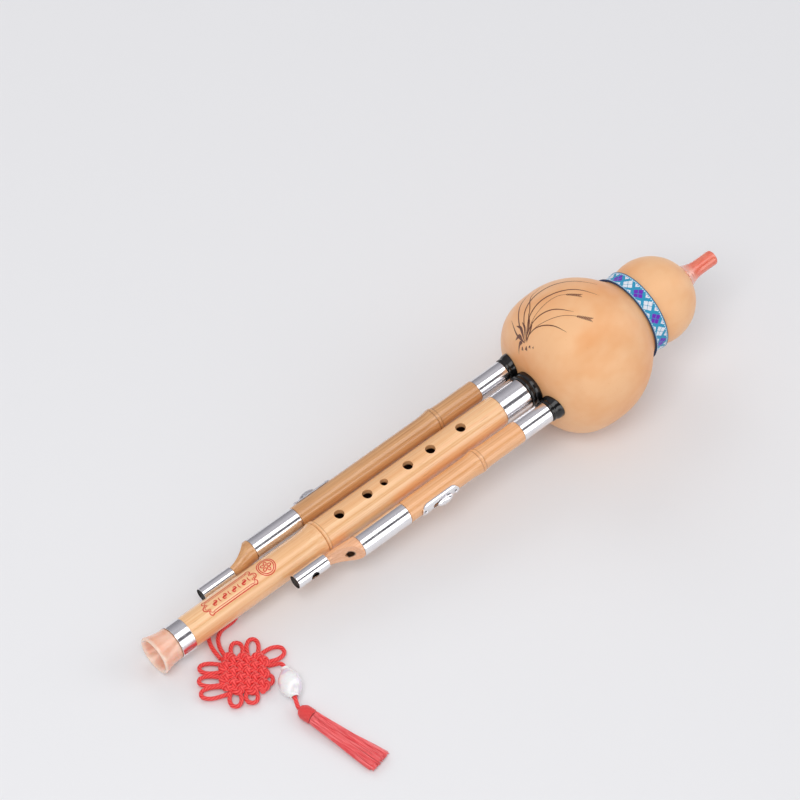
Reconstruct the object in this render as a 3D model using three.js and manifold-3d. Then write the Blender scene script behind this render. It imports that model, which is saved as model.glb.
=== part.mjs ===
// Hulusi: a gourd wind chest with a fingered bamboo pipe between two bamboo drone pipes.
// Lengths are in millimetres. The pipes run along +X from the open end of the main pipe at x = 0 to the
// mouthpiece, the finger holes face +Z and the right-hand drone lies at -Y. The instrument then rests on
// its back, on the gourd and the bell, with its knot and tassel beside it.

import * as THREE from 'three';
import { mergeVertices } from 'three/addons/utils/BufferGeometryUtils.js';
import Module from 'manifold-3d';

const wasm = await Module();
wasm.setup();

const QUARTER = Math.PI / 2;
const degrees = THREE.MathUtils.degToRad;

// Fits and cutters
const fit = 0.3;
const overrun = 1;
const fineSides = 30;
const pipeSides = 20;
const smallSides = 12;

// Driving dimensions of the gourd
const gourd = {
  bulbCentre: 322.8,
  bulbRadius: 46.2,
  bottomDepth: 36.3,
  bottomSquareness: 2.8,
  shoulderAngle: degrees(45.6),
  topCentre: 60,
  topRadius: 27.2,
  topStartAngle: degrees(-17),
  neckRadius: 8.5,
  shoulderEase: 11,
  waistEase: 9,
  wall: 3.5,
};

// Woven band round the waist, measured from the centre of the lower bulb
const band = { start: 39.5, width: 10.1, thickness: 1.7 };

// Mouthpiece, measured from the top of the gourd
const mouthpiece = {
  length: 24.6,
  baseRadius: 8.3,
  stemRadius: 4.9,
  tipRadius: 3.8,
  stemStart: 12.5,
  tipRound: 1.2,
  boreRadius: 2.2,
  spigotRadius: 5,
  spigotLength: 5.5,
};

// Main pipe: bamboo tube with its tenon, node and holes
const main = {
  start: 13.8,
  bodyRadius: 9.9,
  nodePlace: 123.1,
  nodeRadius: 11,
  nodeSpread: 12,
  nodeDecay: 8,
  grooveDepth: 0.55,
  grooveWidth: 1.5,
  upperRadius: 10.3,
  topRadius: 9.9,
  seatDepth: 0.5,
  boreRadius: 6.2,
  ferruleLength: 19.3,
  socketProud: 6.5,
  tenonRadius: 7.6,
  tenonLength: 14.5,
};

const fingerHoleRadius = 3.1;
const smallHoleRadius = 2.4;
const thumbHolePlace = 245;
const tasselHolePlace = 58;
const tasselHoleRadius = 1.9;
const tasselHoleTurn = degrees(17);
const fingerHoles = [
  { place: 138.5, radius: fingerHoleRadius },
  { place: 159.9, radius: fingerHoleRadius },
  { place: 172.6, radius: smallHoleRadius },
  { place: 190.9, radius: fingerHoleRadius },
  { place: 208.2, radius: fingerHoleRadius },
  { place: 231.6, radius: fingerHoleRadius },
];

const bell = {
  length: 13.5,
  rimRadius: 12.3,
  rimRound: 0.9,
  throatRadius: 10.2,
  flareLength: 10.8,
  boreRadius: 6.2,
  cupRadius: 10.2,
  cupDepth: 10,
  spigotRadius: 7.9,
  spigotLength: 7,
};
const bellFerrule = { length: 9.85, radius: 10.5, seatRadius: 9.5 };

// Drone pipes: values that both share, then what differs from left to right
const drone = {
  spacing: 19.3,
  bodyRadius: 7,
  nodePlace: 227.8,
  nodeRadius: 7.8,
  nodeSpread: 9,
  nodeDecay: 9,
  grooveDepth: 0.4,
  grooveWidth: 1.3,
  seatRadius: 6.15,
  boreRadius: 3.2,
  topFerruleLength: 21.7,
  topFerruleRadius: 6.85,
  socketProud: 4.7,
  tenonRadius: 4.6,
  tenonLength: 12,
  lowerFerruleRadius: 7,
};

// Faces of the sockets, tied to the gourd's bottom
const gourdBottom = gourd.bulbCentre - gourd.bottomDepth;
const mainFace = gourdBottom - main.socketProud;
const droneFace = gourdBottom - drone.socketProud;

const tail = { radius: 6.9, boreRadius: 2.6, tipRadius: 3.6, tipShift: 3.3, pegRadius: 1.9, pegLength: 17 };
const scoop = { setback: 0.8, dip: 2.4, dipReach: 5.5, lipHeight: 7.4, tipDepth: 2.1 };
const slideTube = {
  length: 22.8,
  radius: 4.7,
  wall: 0.5,
  offset: 4.6,
  portPlace: 11.7,
  portRadius: 2.8,
  plugLength: 4,
  plugRecess: 0.5,
  bushLength: 6,
};
const left = {
  name: 'left',
  side: 1,
  tailStart: 70.6,
  ferruleStart: 88,
  ferruleEnd: 121.9,
  switchPlace: 139.4,
  restOffset: -2.7,
  tubeTurn: degrees(32),
  scoopTurn: degrees(-8),
};
const right = {
  name: 'right',
  side: -1,
  tailStart: 115,
  ferruleStart: 136.6,
  ferruleEnd: 171.8,
  switchPlace: 193.3,
  restOffset: 2.7,
  tubeTurn: degrees(-40),
  scoopTurn: degrees(8),
};

// Thumb slide that opens and shuts the vent in a drone's wall
const thumbSlide = {
  plateLength: 27.8,
  plateWidth: 9.6,
  plateThickness: 0.6,
  slotLength: 11.6,
  slotWidth: 3.6,
  neckLength: 5,
  neckWidth: 3,
  buttonLength: 11.5,
  buttonWidth: 6,
  buttonHeight: 2.3,
  footLength: 9,
  footWidth: 5.2,
  footThickness: 0.9,
  recessFloor: 5.5,
  ventOffset: 2.7,
  nailInset: 2.3,
  nailRadius: 0.6,
  nailHeadRadius: 1.15,
  nailHeadHeight: 0.5,
  nailLength: 2.4,
  ventRadius: 1.5,
};

// Sockets in the gourd, seals on the tenons and reeds behind them
const socket = { rim: 1.1, ridge: 2, groove: 0.6, depth: 16, reach: 12.3 };
const mainSocket = { flangeRadius: 11, sleeveRadius: 10.1 };
const droneSocket = { flangeRadius: 7.9, sleeveRadius: 7 };
const seal = { thickness: 0.8, start: 3, length: 9 };
const mainReed = {
  holderRadius: 5.9,
  holderBore: 4.8,
  inset: 9,
  length: 37,
  flatHeight: 4.9,
  plateLength: 21,
  plateWidth: 6.4,
};
const droneReed = {
  holderRadius: 2.9,
  holderBore: 2.1,
  inset: 8,
  length: 29.5,
  flatHeight: 2.35,
  plateLength: 14,
  plateWidth: 3.4,
};
const reed = { capThickness: 1.2, plateThickness: 0.5, slit: 0.35, plateSetback: 3.5 };
const reedWindowShare = 0.62;
const reedTongueShares = { length: 0.62, width: 0.4 };

// Knot, pendant and tassel, lying on the surface beside the bell
const cordRadius = 1.3;
const knot = {
  halfWidth: 12.6,
  turn: degrees(-37.4),
  cornerRadius: 2,
  edge: 1.4,
  thickness: 4.9,
  lift: 0.2,
  loopRoot: 3,
};
const charm = { length: 21, radius: 6.8, boreRadius: 1.9, endRadius: 2.9, lean: 0.94, fullness: 0.66 };
const tasselCap = { length: 9, radius: 4.6, topRadius: 2.4 };
const fringe = { length: 48, radius: 4.4, endWidth: 8.6, endHeight: 2.1, lift: 0.2 };

// Materials in the colours of the finished pieces
const looks = {
  gourd: { color: 0xefb27a, roughness: 0.35, metalness: 0 },
  bamboo: { color: 0xe8b66c, roughness: 0.35, metalness: 0 },
  droneBamboo: { color: 0xc98f4e, roughness: 0.4, metalness: 0 },
  chrome: { color: 0xdddddf, roughness: 0.15, metalness: 1 },
  black: { color: 0x151515, roughness: 0.2, metalness: 0 },
  bell: { color: 0xf1b08e, roughness: 0.25, metalness: 0 },
  stem: { color: 0xe8897a, roughness: 0.2, metalness: 0 },
  band: { color: 0x3f9fc4, roughness: 0.9, metalness: 0 },
  brass: { color: 0xc9a24a, roughness: 0.3, metalness: 1 },
  thread: { color: 0xd9c9a2, roughness: 0.9, metalness: 0 },
  cord: { color: 0xe8313c, roughness: 0.6, metalness: 0 },
  charm: { color: 0xf7f5f4, roughness: 0.15, metalness: 0 },
};

// Closed mesh to solid and back

function solid(geometry) {
  const bare = geometry.clone();
  bare.deleteAttribute('normal');
  bare.deleteAttribute('uv');
  const merged = mergeVertices(bare);
  const corners = [];
  for (let i = 0; i < merged.index.count; i += 3) {
    const [a, b, c] = [0, 1, 2].map((k) => merged.index.getX(i + k));
    if (a !== b && b !== c && c !== a) corners.push(a, b, c);
  }
  const vertProperties = new Float32Array(merged.attributes.position.array);
  const mesh = new wasm.Mesh({ numProp: 3, vertProperties, triVerts: new Uint32Array(corners) });
  return new wasm.Manifold(mesh);
}

function geometryOf(body) {
  const mesh = body.getMesh();
  const positions = new Float32Array(mesh.numVert * 3);
  for (let i = 0; i < mesh.numVert; i += 1) {
    for (let k = 0; k < 3; k += 1) positions[3 * i + k] = mesh.vertProperties[mesh.numProp * i + k];
  }
  const geometry = new THREE.BufferGeometry();
  geometry.setAttribute('position', new THREE.BufferAttribute(positions, 3));
  geometry.setIndex(new THREE.BufferAttribute(new Uint32Array(mesh.triVerts), 1));
  geometry.computeVertexNormals();
  return geometry;
}

// Turned shapes: an outline of [place along X, radius] pairs, with a flat of the polygon underneath

function turnedGeometry(outline, sides) {
  const points = outline.map(([place, radius]) => new THREE.Vector2(radius, place));
  const geometry = new THREE.LatheGeometry(points, sides, Math.PI / sides, 2 * Math.PI);
  return geometry.rotateZ(-QUARTER);
}

function turned(outline, sides = pipeSides) {
  return solid(turnedGeometry(outline, sides));
}

function rod(radius, from, to, sides = smallSides) {
  return turned([[from, 0], [from, radius], [to, radius], [to, 0]], sides);
}

function sleeve(outer, inner, from, to, sides = pipeSides) {
  return turned([[from, inner], [from, outer], [to, outer], [to, inner], [from, inner]], sides);
}

// A drill across the pipe: turn is measured from straight up towards -Y
function drill(radius, place, turn, from, to, sides = smallSides) {
  const geometry = new THREE.CylinderGeometry(radius, radius, to - from, sides);
  geometry.rotateX(QUARTER).translate(place, 0, (from + to) / 2).rotateX(turn);
  return solid(geometry);
}

// A flat outline in X and Y, raised from one height to another and turned round X
function raised(shape, low, high, turn = 0) {
  const geometry = new THREE.ExtrudeGeometry(shape, { depth: high - low, bevelEnabled: false, curveSegments: 6 });
  geometry.translate(0, 0, low).rotateX(turn);
  return solid(geometry);
}

function stadium(centre, length, width) {
  const half = length / 2 - width / 2;
  const shape = new THREE.Shape();
  shape.absarc(centre + half, 0, width / 2, -QUARTER, QUARTER, false);
  shape.absarc(centre - half, 0, width / 2, QUARTER, 3 * QUARTER, false);
  return shape;
}

function rectangle(from, to, width) {
  const shape = new THREE.Shape();
  shape.moveTo(from, -width / 2);
  shape.lineTo(to, -width / 2);
  shape.lineTo(to, width / 2);
  shape.lineTo(from, width / 2);
  return shape;
}

// A round tube along a smooth curve through the points
function corded(points, radius, sides, steps) {
  const ring = [];
  for (let i = 0; i < sides; i += 1) {
    const angle = (2 * Math.PI * (i + 0.5)) / sides;
    ring.push(new THREE.Vector2(radius * Math.cos(angle), radius * Math.sin(angle)));
  }
  const path = new THREE.CatmullRomCurve3(points, false, 'centripetal');
  return new THREE.ExtrudeGeometry(new THREE.Shape(ring), { steps, extrudePath: path });
}

// Pieces go into groups as named meshes

const model = new THREE.Group();
const instrument = new THREE.Group();
model.add(instrument);

function piece(parent, name, body, look) {
  const geometry = body.isBufferGeometry ? body : geometryOf(body);
  const mesh = new THREE.Mesh(geometry, new THREE.MeshStandardMaterial(looks[look]));
  mesh.name = name;
  parent.add(mesh);
  return mesh;
}

// Gourd

const gourdTop = gourd.bulbCentre + gourd.topCentre
  + Math.sqrt(gourd.topRadius ** 2 - gourd.neckRadius ** 2);

// Outline of the gourd with its skin moved out by grow, closed on the axis
function gourdOutline(grow, rowScale) {
  const outline = [];
  const bottomRows = Math.round(8 * rowScale);
  const arcRows = Math.round(5 * rowScale);
  const power = 2 / gourd.bottomSquareness;
  const radius = gourd.bulbRadius + grow;
  for (let i = 0; i <= bottomRows; i += 1) {
    const angle = (QUARTER * i) / bottomRows;
    const depth = (gourd.bottomDepth + grow) * Math.max(0, Math.cos(angle)) ** power;
    outline.push([-depth, radius * Math.sin(angle) ** power]);
  }
  for (let i = 1; i < arcRows; i += 1) {
    const angle = (gourd.shoulderAngle * i) / arcRows;
    outline.push([radius * Math.sin(angle), radius * Math.cos(angle)]);
  }
  const topRadius = gourd.topRadius + grow;
  const onBulb = (angle) => new THREE.Vector2(radius * Math.sin(angle), radius * Math.cos(angle));
  const onTop = (angle) => new THREE.Vector2(
    gourd.topCentre + topRadius * Math.sin(angle),
    topRadius * Math.cos(angle),
  );
  const leave = new THREE.Vector2(Math.cos(gourd.shoulderAngle), -Math.sin(gourd.shoulderAngle));
  const arrive = new THREE.Vector2(Math.cos(gourd.topStartAngle), -Math.sin(gourd.topStartAngle));
  const from = onBulb(gourd.shoulderAngle);
  const to = onTop(gourd.topStartAngle);
  const waist = new THREE.CubicBezierCurve(
    from,
    from.clone().addScaledVector(leave, gourd.shoulderEase),
    to.clone().addScaledVector(arrive, -gourd.waistEase),
    to,
  );
  waist.getPoints(arcRows).forEach((point) => outline.push([point.x, point.y]));
  const endAngle = Math.acos((gourd.neckRadius + Math.min(grow, 0)) / topRadius);
  for (let i = 1; i <= arcRows; i += 1) {
    const angle = THREE.MathUtils.lerp(gourd.topStartAngle, endAngle, i / arcRows);
    const point = onTop(angle);
    outline.push([point.x, point.y]);
  }
  outline.push([outline[outline.length - 1][0], 0]);
  return outline.map(([place, width]) => [place + gourd.bulbCentre, width]);
}

const fullRows = 1;
const halfRows = 0.6;
const chamberSides = 18;
const gourdSkin = turned(gourdOutline(0, fullRows), fineSides);
const gourdClearance = turned(gourdOutline(fit, fullRows), fineSides);

function makeGourd() {
  const chamber = turned(gourdOutline(-gourd.wall, halfRows), chamberSides);
  let shell = gourdSkin.subtract(chamber);
  const holes = [
    { offset: 0, radius: mainSocket.sleeveRadius },
    { offset: drone.spacing, radius: droneSocket.sleeveRadius },
    { offset: -drone.spacing, radius: droneSocket.sleeveRadius },
  ];
  holes.forEach(({ offset, radius }) => {
    const cutter = rod(radius + fit, gourdBottom - overrun, gourdBottom + 3 * gourd.wall, pipeSides);
    shell = shell.subtract(cutter.translate([0, offset, 0]));
  });
  const throat = rod(mouthpiece.spigotRadius + fit, gourdTop - 3 * gourd.wall, gourdTop + overrun);
  shell = shell.subtract(throat);
  // The gourd is cut through at the waist, where it is hollowed out and glued again, and the band hides the cut
  const seam = gourd.bulbCentre + band.start + band.width / 2;
  const wide = 2 * gourd.bulbRadius;
  const above = rod(wide, seam, gourdTop + overrun, pipeSides);
  const below = rod(wide, gourdBottom - overrun, seam + fit, pipeSides);
  piece(instrument, 'gourd_lower', shell.subtract(above), 'gourd');
  piece(instrument, 'gourd_upper', shell.subtract(below), 'gourd');
}

function makeWaistBand() {
  const outer = turned(gourdOutline(fit + band.thickness, fullRows), fineSides);
  const from = gourd.bulbCentre + band.start;
  const slice = rod(gourd.bulbRadius, from, from + band.width, fineSides);
  piece(instrument, 'waist_band', outer.intersect(slice).subtract(gourdClearance), 'band');
}

function makeMouthpiece() {
  const base = gourdTop + fit;
  const tip = base + mouthpiece.length;
  const outline = [[base - mouthpiece.spigotLength, mouthpiece.boreRadius]];
  outline.push([base - mouthpiece.spigotLength, mouthpiece.spigotRadius]);
  outline.push([base, mouthpiece.spigotRadius]);
  const rows = 7;
  for (let i = 0; i <= rows; i += 1) {
    const share = i / rows;
    const swell = (mouthpiece.baseRadius - mouthpiece.stemRadius) * (1 - share) ** 2;
    outline.push([base + mouthpiece.stemStart * share, mouthpiece.stemRadius + swell]);
  }
  outline.push([tip - mouthpiece.tipRound, mouthpiece.stemRadius]);
  outline.push([tip, mouthpiece.tipRadius]);
  outline.push([tip, mouthpiece.boreRadius]);
  outline.push(outline[0]);
  piece(instrument, 'mouthpiece', turned(outline), 'stem');
}

// Black socket: a ridged flange shaped to the gourd's skin, and a sleeve through its wall
function makeSocket(name, offset, face, tenonRadius, sizes) {
  const radius = sizes.flangeRadius;
  const flange = turned([
    [face, 0],
    [face, radius - socket.groove],
    [face + socket.groove, radius],
    [face + socket.ridge, radius],
    [face + socket.ridge + socket.groove, radius - socket.groove],
    [face + socket.ridge + socket.rim, radius],
    [face + socket.reach, radius],
    [face + socket.reach, 0],
  ]).translate([0, offset, 0]);
  const boreRadius = tenonRadius + fit + seal.thickness + fit;
  const barrel = rod(sizes.sleeveRadius, face + socket.groove, face + socket.depth, pipeSides);
  const bore = rod(boreRadius, face - overrun, face + socket.depth + overrun, pipeSides);
  const body = flange.subtract(gourdClearance).add(barrel.translate([0, offset, 0]));
  piece(instrument, name, body.subtract(bore.translate([0, offset, 0])), 'black');
}

// Bamboo skin with a raised node ring: swell before it, two grooves and a slow decay after it
function nodeRows(pipe, lowRadius, highRadius) {
  const rows = [];
  const count = 3;
  for (let i = 1; i <= count; i += 1) {
    const share = i / count;
    const swell = (pipe.nodeRadius - lowRadius) * share ** 2.2;
    rows.push([pipe.nodePlace - pipe.nodeSpread * (1 - share) - pipe.grooveWidth, lowRadius + swell]);
  }
  rows.push([pipe.nodePlace - pipe.grooveWidth / 2, pipe.nodeRadius - pipe.grooveDepth]);
  rows.push([pipe.nodePlace, pipe.nodeRadius]);
  rows.push([pipe.nodePlace + pipe.grooveWidth / 2, pipe.nodeRadius]);
  rows.push([pipe.nodePlace + pipe.grooveWidth, pipe.nodeRadius - pipe.grooveDepth]);
  for (let i = 1; i <= count; i += 1) {
    const share = i / count;
    const swell = (pipe.nodeRadius - pipe.grooveDepth - highRadius) * (1 - share) ** 2;
    rows.push([pipe.nodePlace + pipe.grooveWidth + pipe.nodeDecay * share, highRadius + swell]);
  }
  return rows;
}

// Tube with its reed: closed far end, a flat on top and a window under the plate
function makeReed(parent, name, tenonEnd, sizes) {
  const from = tenonEnd - sizes.inset;
  const to = from + sizes.length;
  const shell = turned([
    [from, sizes.holderBore],
    [from, sizes.holderRadius],
    [to - reed.capThickness, sizes.holderRadius],
    [to, sizes.holderRadius - reed.capThickness],
    [to, 0],
    [to - reed.capThickness, 0],
    [to - reed.capThickness, sizes.holderBore],
    [from, sizes.holderBore],
  ], smallSides);
  const plateTo = to - reed.plateSetback;
  const plateFrom = plateTo - sizes.plateLength;
  const flat = raised(
    rectangle(plateFrom - fit, plateTo + fit, 2 * sizes.holderRadius + overrun),
    sizes.flatHeight,
    sizes.holderRadius + overrun,
  );
  const windowLength = sizes.plateLength * reedWindowShare;
  const middle = (plateFrom + plateTo) / 2;
  const windowWidth = sizes.plateWidth * reedWindowShare;
  const opening = raised(
    rectangle(middle - windowLength / 2, middle + windowLength / 2, windowWidth),
    0,
    sizes.flatHeight + overrun,
  );
  piece(parent, `${name}_reed_holder`, shell.subtract(flat).subtract(opening), 'brass');
  const low = sizes.flatHeight + fit;
  const high = low + reed.plateThickness;
  const blank = raised(rectangle(plateFrom, plateTo, sizes.plateWidth), low, high);
  const tongueLength = sizes.plateLength * reedTongueShares.length;
  const tongueWidth = sizes.plateWidth * reedTongueShares.width;
  const root = middle - tongueLength / 2;
  const end = middle + tongueLength / 2;
  const cuts = [
    raised(rectangle(root, end, reed.slit), low - overrun, high + overrun).translate([0, tongueWidth / 2, 0]),
    raised(rectangle(root, end, reed.slit), low - overrun, high + overrun).translate([0, -tongueWidth / 2, 0]),
    raised(rectangle(end - reed.slit, end, tongueWidth), low - overrun, high + overrun),
  ];
  const plate = cuts.reduce((body, cut) => body.subtract(cut), blank);
  piece(parent, `${name}_reed_plate`, plate, 'brass');
}

function makeSeal(parent, name, face, tenonRadius) {
  const inner = tenonRadius + fit;
  const from = face + seal.start;
  piece(parent, `${name}_tenon_seal`, sleeve(inner + seal.thickness, inner, from, from + seal.length), 'thread');
}

// Main pipe with its ferrules and bell

function makeMainPipe() {
  const shoulder = mainFace - fit;
  const tenonEnd = shoulder + main.tenonLength;
  const ferruleStart = shoulder - main.ferruleLength;
  const seatRadius = main.topRadius - main.seatDepth - fit;
  const lowerEnd = main.start + bellFerrule.length + fit;
  const counterbore = bell.spigotRadius + fit;
  const counterboreEnd = bell.length + bell.spigotLength + fit;
  const outline = [
    [main.start, counterbore],
    [main.start, bellFerrule.seatRadius],
    [lowerEnd, bellFerrule.seatRadius],
    [lowerEnd, main.bodyRadius],
    ...nodeRows(main, main.bodyRadius, main.upperRadius),
    [ferruleStart - fit, main.topRadius],
    [ferruleStart - fit, seatRadius],
    [shoulder, seatRadius],
    [shoulder, main.tenonRadius],
    [tenonEnd, main.tenonRadius],
    [tenonEnd, main.boreRadius],
    [counterboreEnd, main.boreRadius],
    [counterboreEnd, counterbore],
    [main.start, counterbore],
  ];
  let pipe = turned(outline);
  const reach = main.nodeRadius + overrun;
  fingerHoles.forEach(({ place, radius }) => {
    pipe = pipe.subtract(drill(radius, place, 0, 0, reach));
  });
  pipe = pipe.subtract(drill(fingerHoleRadius, thumbHolePlace, 2 * QUARTER, 0, reach));
  [-1, 1].forEach((side) => {
    const turn = 2 * QUARTER + side * tasselHoleTurn;
    pipe = pipe.subtract(drill(tasselHoleRadius, tasselHolePlace, turn, 0, reach));
  });
  piece(instrument, 'main_pipe', pipe, 'bamboo');
  const ferrule = sleeve(main.topRadius, seatRadius + fit, ferruleStart, shoulder);
  piece(instrument, 'main_top_ferrule', ferrule, 'chrome');
  const lowerFrom = main.start;
  const ring = sleeve(
    bellFerrule.radius,
    bellFerrule.seatRadius + fit,
    lowerFrom,
    lowerFrom + bellFerrule.length,
  );
  piece(instrument, 'bell_ferrule', ring, 'chrome');
  makeSeal(instrument, 'main', mainFace, main.tenonRadius);
  makeReed(instrument, 'main', tenonEnd, mainReed);
}

function makeBell() {
  const outline = [[0, bell.cupRadius], [0, bell.rimRadius - bell.rimRound], [bell.rimRound, bell.rimRadius]];
  const rows = 5;
  for (let i = 1; i <= rows; i += 1) {
    const share = i / rows;
    const flare = (bell.rimRadius - bell.throatRadius) * (1 - share) ** 1.6;
    outline.push([2 * bell.rimRound + (bell.flareLength - 2 * bell.rimRound) * share, bell.throatRadius + flare]);
  }
  const end = bell.length + bell.spigotLength;
  outline.push([bell.length, bell.throatRadius]);
  outline.push([bell.length, bell.spigotRadius]);
  outline.push([end, bell.spigotRadius]);
  outline.push([end, bell.boreRadius]);
  const cupRows = 3;
  for (let i = 0; i <= cupRows; i += 1) {
    const share = i / cupRows;
    const cup = (bell.cupRadius - bell.boreRadius) * share ** 1.4;
    outline.push([bell.cupDepth * (1 - share), bell.boreRadius + cup]);
  }
  piece(instrument, 'bell', turned(outline), 'bell');
}

// Drones

// Share of the way from the tail's tip to the ferrule, as a smooth step
function easeShare(place, from, to) {
  const share = THREE.MathUtils.clamp((place - from) / (to - from), 0, 1);
  return share * share * (3 - 2 * share);
}

function makeTail(parent, side) {
  const shankEnd = (side.ferruleStart + side.ferruleEnd) / 2 - fit;
  const outline = [[side.tailStart, 0]];
  const rows = 7;
  for (let i = 0; i <= rows; i += 1) {
    const place = THREE.MathUtils.lerp(side.tailStart, side.ferruleStart - fit, i / rows);
    const grown = Math.sin(QUARTER * (i / rows));
    outline.push([place, THREE.MathUtils.lerp(tail.tipRadius, tail.radius, grown)]);
  }
  outline.push([side.ferruleStart - fit, drone.seatRadius]);
  outline.push([shankEnd, drone.seatRadius]);
  outline.push([shankEnd, 0]);
  const geometry = turnedGeometry(outline, pipeSides);
  const position = geometry.attributes.position;
  const inward = [-side.side * Math.cos(side.tubeTurn), -Math.sin(side.tubeTurn)];
  for (let i = 0; i < position.count; i += 1) {
    const share = 1 - easeShare(position.getX(i), side.tailStart, side.ferruleStart - fit);
    position.setY(i, position.getY(i) + inward[0] * tail.tipShift * share);
    position.setZ(i, position.getZ(i) + inward[1] * tail.tipShift * share);
  }
  const shape = new THREE.Shape();
  const lip = side.ferruleStart - scoop.setback;
  shape.moveTo(lip, scoop.lipHeight);
  shape.quadraticCurveTo(lip - scoop.dipReach, -scoop.dip, side.tailStart - overrun, -scoop.tipDepth);
  shape.lineTo(side.tailStart - overrun, scoop.lipHeight);
  const wide = 2 * tail.radius;
  const blade = new THREE.ExtrudeGeometry(shape, { depth: wide, bevelEnabled: false, curveSegments: 8 });
  blade.translate(0, 0, -wide / 2).rotateX(QUARTER);
  if (side.side < 0) blade.rotateX(QUARTER);
  else blade.rotateX(-QUARTER);
  blade.rotateX(side.side * side.scoopTurn);
  const bore = rod(tail.boreRadius, side.tailStart + tail.tipRadius, shankEnd + overrun);
  const peg = rod(tail.pegRadius, side.tailStart - tail.pegLength, side.tailStart + tail.tipRadius);
  const offset = [0, inward[0] * slideTube.offset, inward[1] * slideTube.offset];
  const body = solid(geometry).subtract(solid(blade)).subtract(bore).add(peg.translate(offset));
  piece(parent, `${side.name}_tail`, body, 'droneBamboo');
}

function makeSlideTube(parent, side) {
  const group = new THREE.Group();
  const inward = [-side.side * Math.cos(side.tubeTurn), -Math.sin(side.tubeTurn)];
  group.position.set(0, inward[0] * slideTube.offset, inward[1] * slideTube.offset);
  parent.add(group);
  const to = side.tailStart - fit;
  const from = to - slideTube.length;
  const inner = slideTube.radius - slideTube.wall;
  const port = drill(slideTube.portRadius, from + slideTube.portPlace, -side.side * QUARTER, 0, slideTube.radius + overrun);
  piece(group, `${side.name}_slide_tube`, sleeve(slideTube.radius, inner, from, to).subtract(port), 'chrome');
  const plugFrom = from + slideTube.plugRecess;
  piece(group, `${side.name}_tube_plug`, rod(inner - fit, plugFrom, plugFrom + slideTube.plugLength), 'black');
  const bushTo = to - slideTube.plugRecess;
  const bush = sleeve(inner - fit, tail.pegRadius + fit, bushTo - slideTube.bushLength, bushTo, smallSides);
  piece(group, `${side.name}_tube_bush`, bush, 'black');
}

function makeThumbSlide(parent, side) {
  const turn = -side.side * QUARTER;
  const place = side.switchPlace;
  const inner = drone.bodyRadius + fit;
  const outer = inner + thumbSlide.plateThickness;
  const far = outer + thumbSlide.buttonHeight + overrun;
  const half = thumbSlide.plateLength / 2;
  const shell = sleeve(outer, inner, place - half - overrun, place + half + overrun, fineSides);
  const blank = raised(stadium(place, thumbSlide.plateLength, thumbSlide.plateWidth), 0, far, turn);
  const slot = raised(stadium(place, thumbSlide.slotLength, thumbSlide.slotWidth), 0, far, turn);
  let plate = shell.intersect(blank).subtract(slot);
  const nails = [
    { label: 'front', at: place - half + thumbSlide.nailInset },
    { label: 'rear', at: place + half - thumbSlide.nailInset },
  ];
  nails.forEach(({ label, at }) => {
    plate = plate.subtract(drill(thumbSlide.nailRadius + fit, at, turn, 0, far));
    const head = outer + fit;
    const shank = drill(thumbSlide.nailRadius, at, turn, head - thumbSlide.nailLength, head, 10);
    const cap = drill(thumbSlide.nailHeadRadius, at, turn, head, head + thumbSlide.nailHeadHeight, 12);
    piece(parent, `${side.name}_switch_nail_${label}`, shank.add(cap), 'chrome');
  });
  piece(parent, `${side.name}_switch_plate`, plate, 'chrome');
  const middle = place + side.restOffset;
  const dome = new THREE.SphereGeometry(0.5, 16, 8);
  dome.scale(thumbSlide.buttonLength, thumbSlide.buttonWidth, 2 * thumbSlide.buttonHeight);
  dome.translate(middle, 0, outer + fit).rotateX(turn);
  const above = raised(
    rectangle(middle - thumbSlide.buttonLength, middle + thumbSlide.buttonLength, 2 * thumbSlide.buttonWidth),
    outer + fit,
    far,
    turn,
  );
  const neck = raised(
    stadium(middle, thumbSlide.neckLength, thumbSlide.neckWidth),
    thumbSlide.recessFloor + 2 * fit,
    outer + 2 * fit,
    turn,
  );
  const footLow = thumbSlide.recessFloor + fit;
  const foot = raised(
    stadium(middle, thumbSlide.footLength, thumbSlide.footWidth),
    footLow,
    footLow + thumbSlide.footThickness,
    turn,
  );
  piece(parent, `${side.name}_switch_button`, solid(dome).intersect(above).add(neck).add(foot), 'chrome');
}

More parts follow.
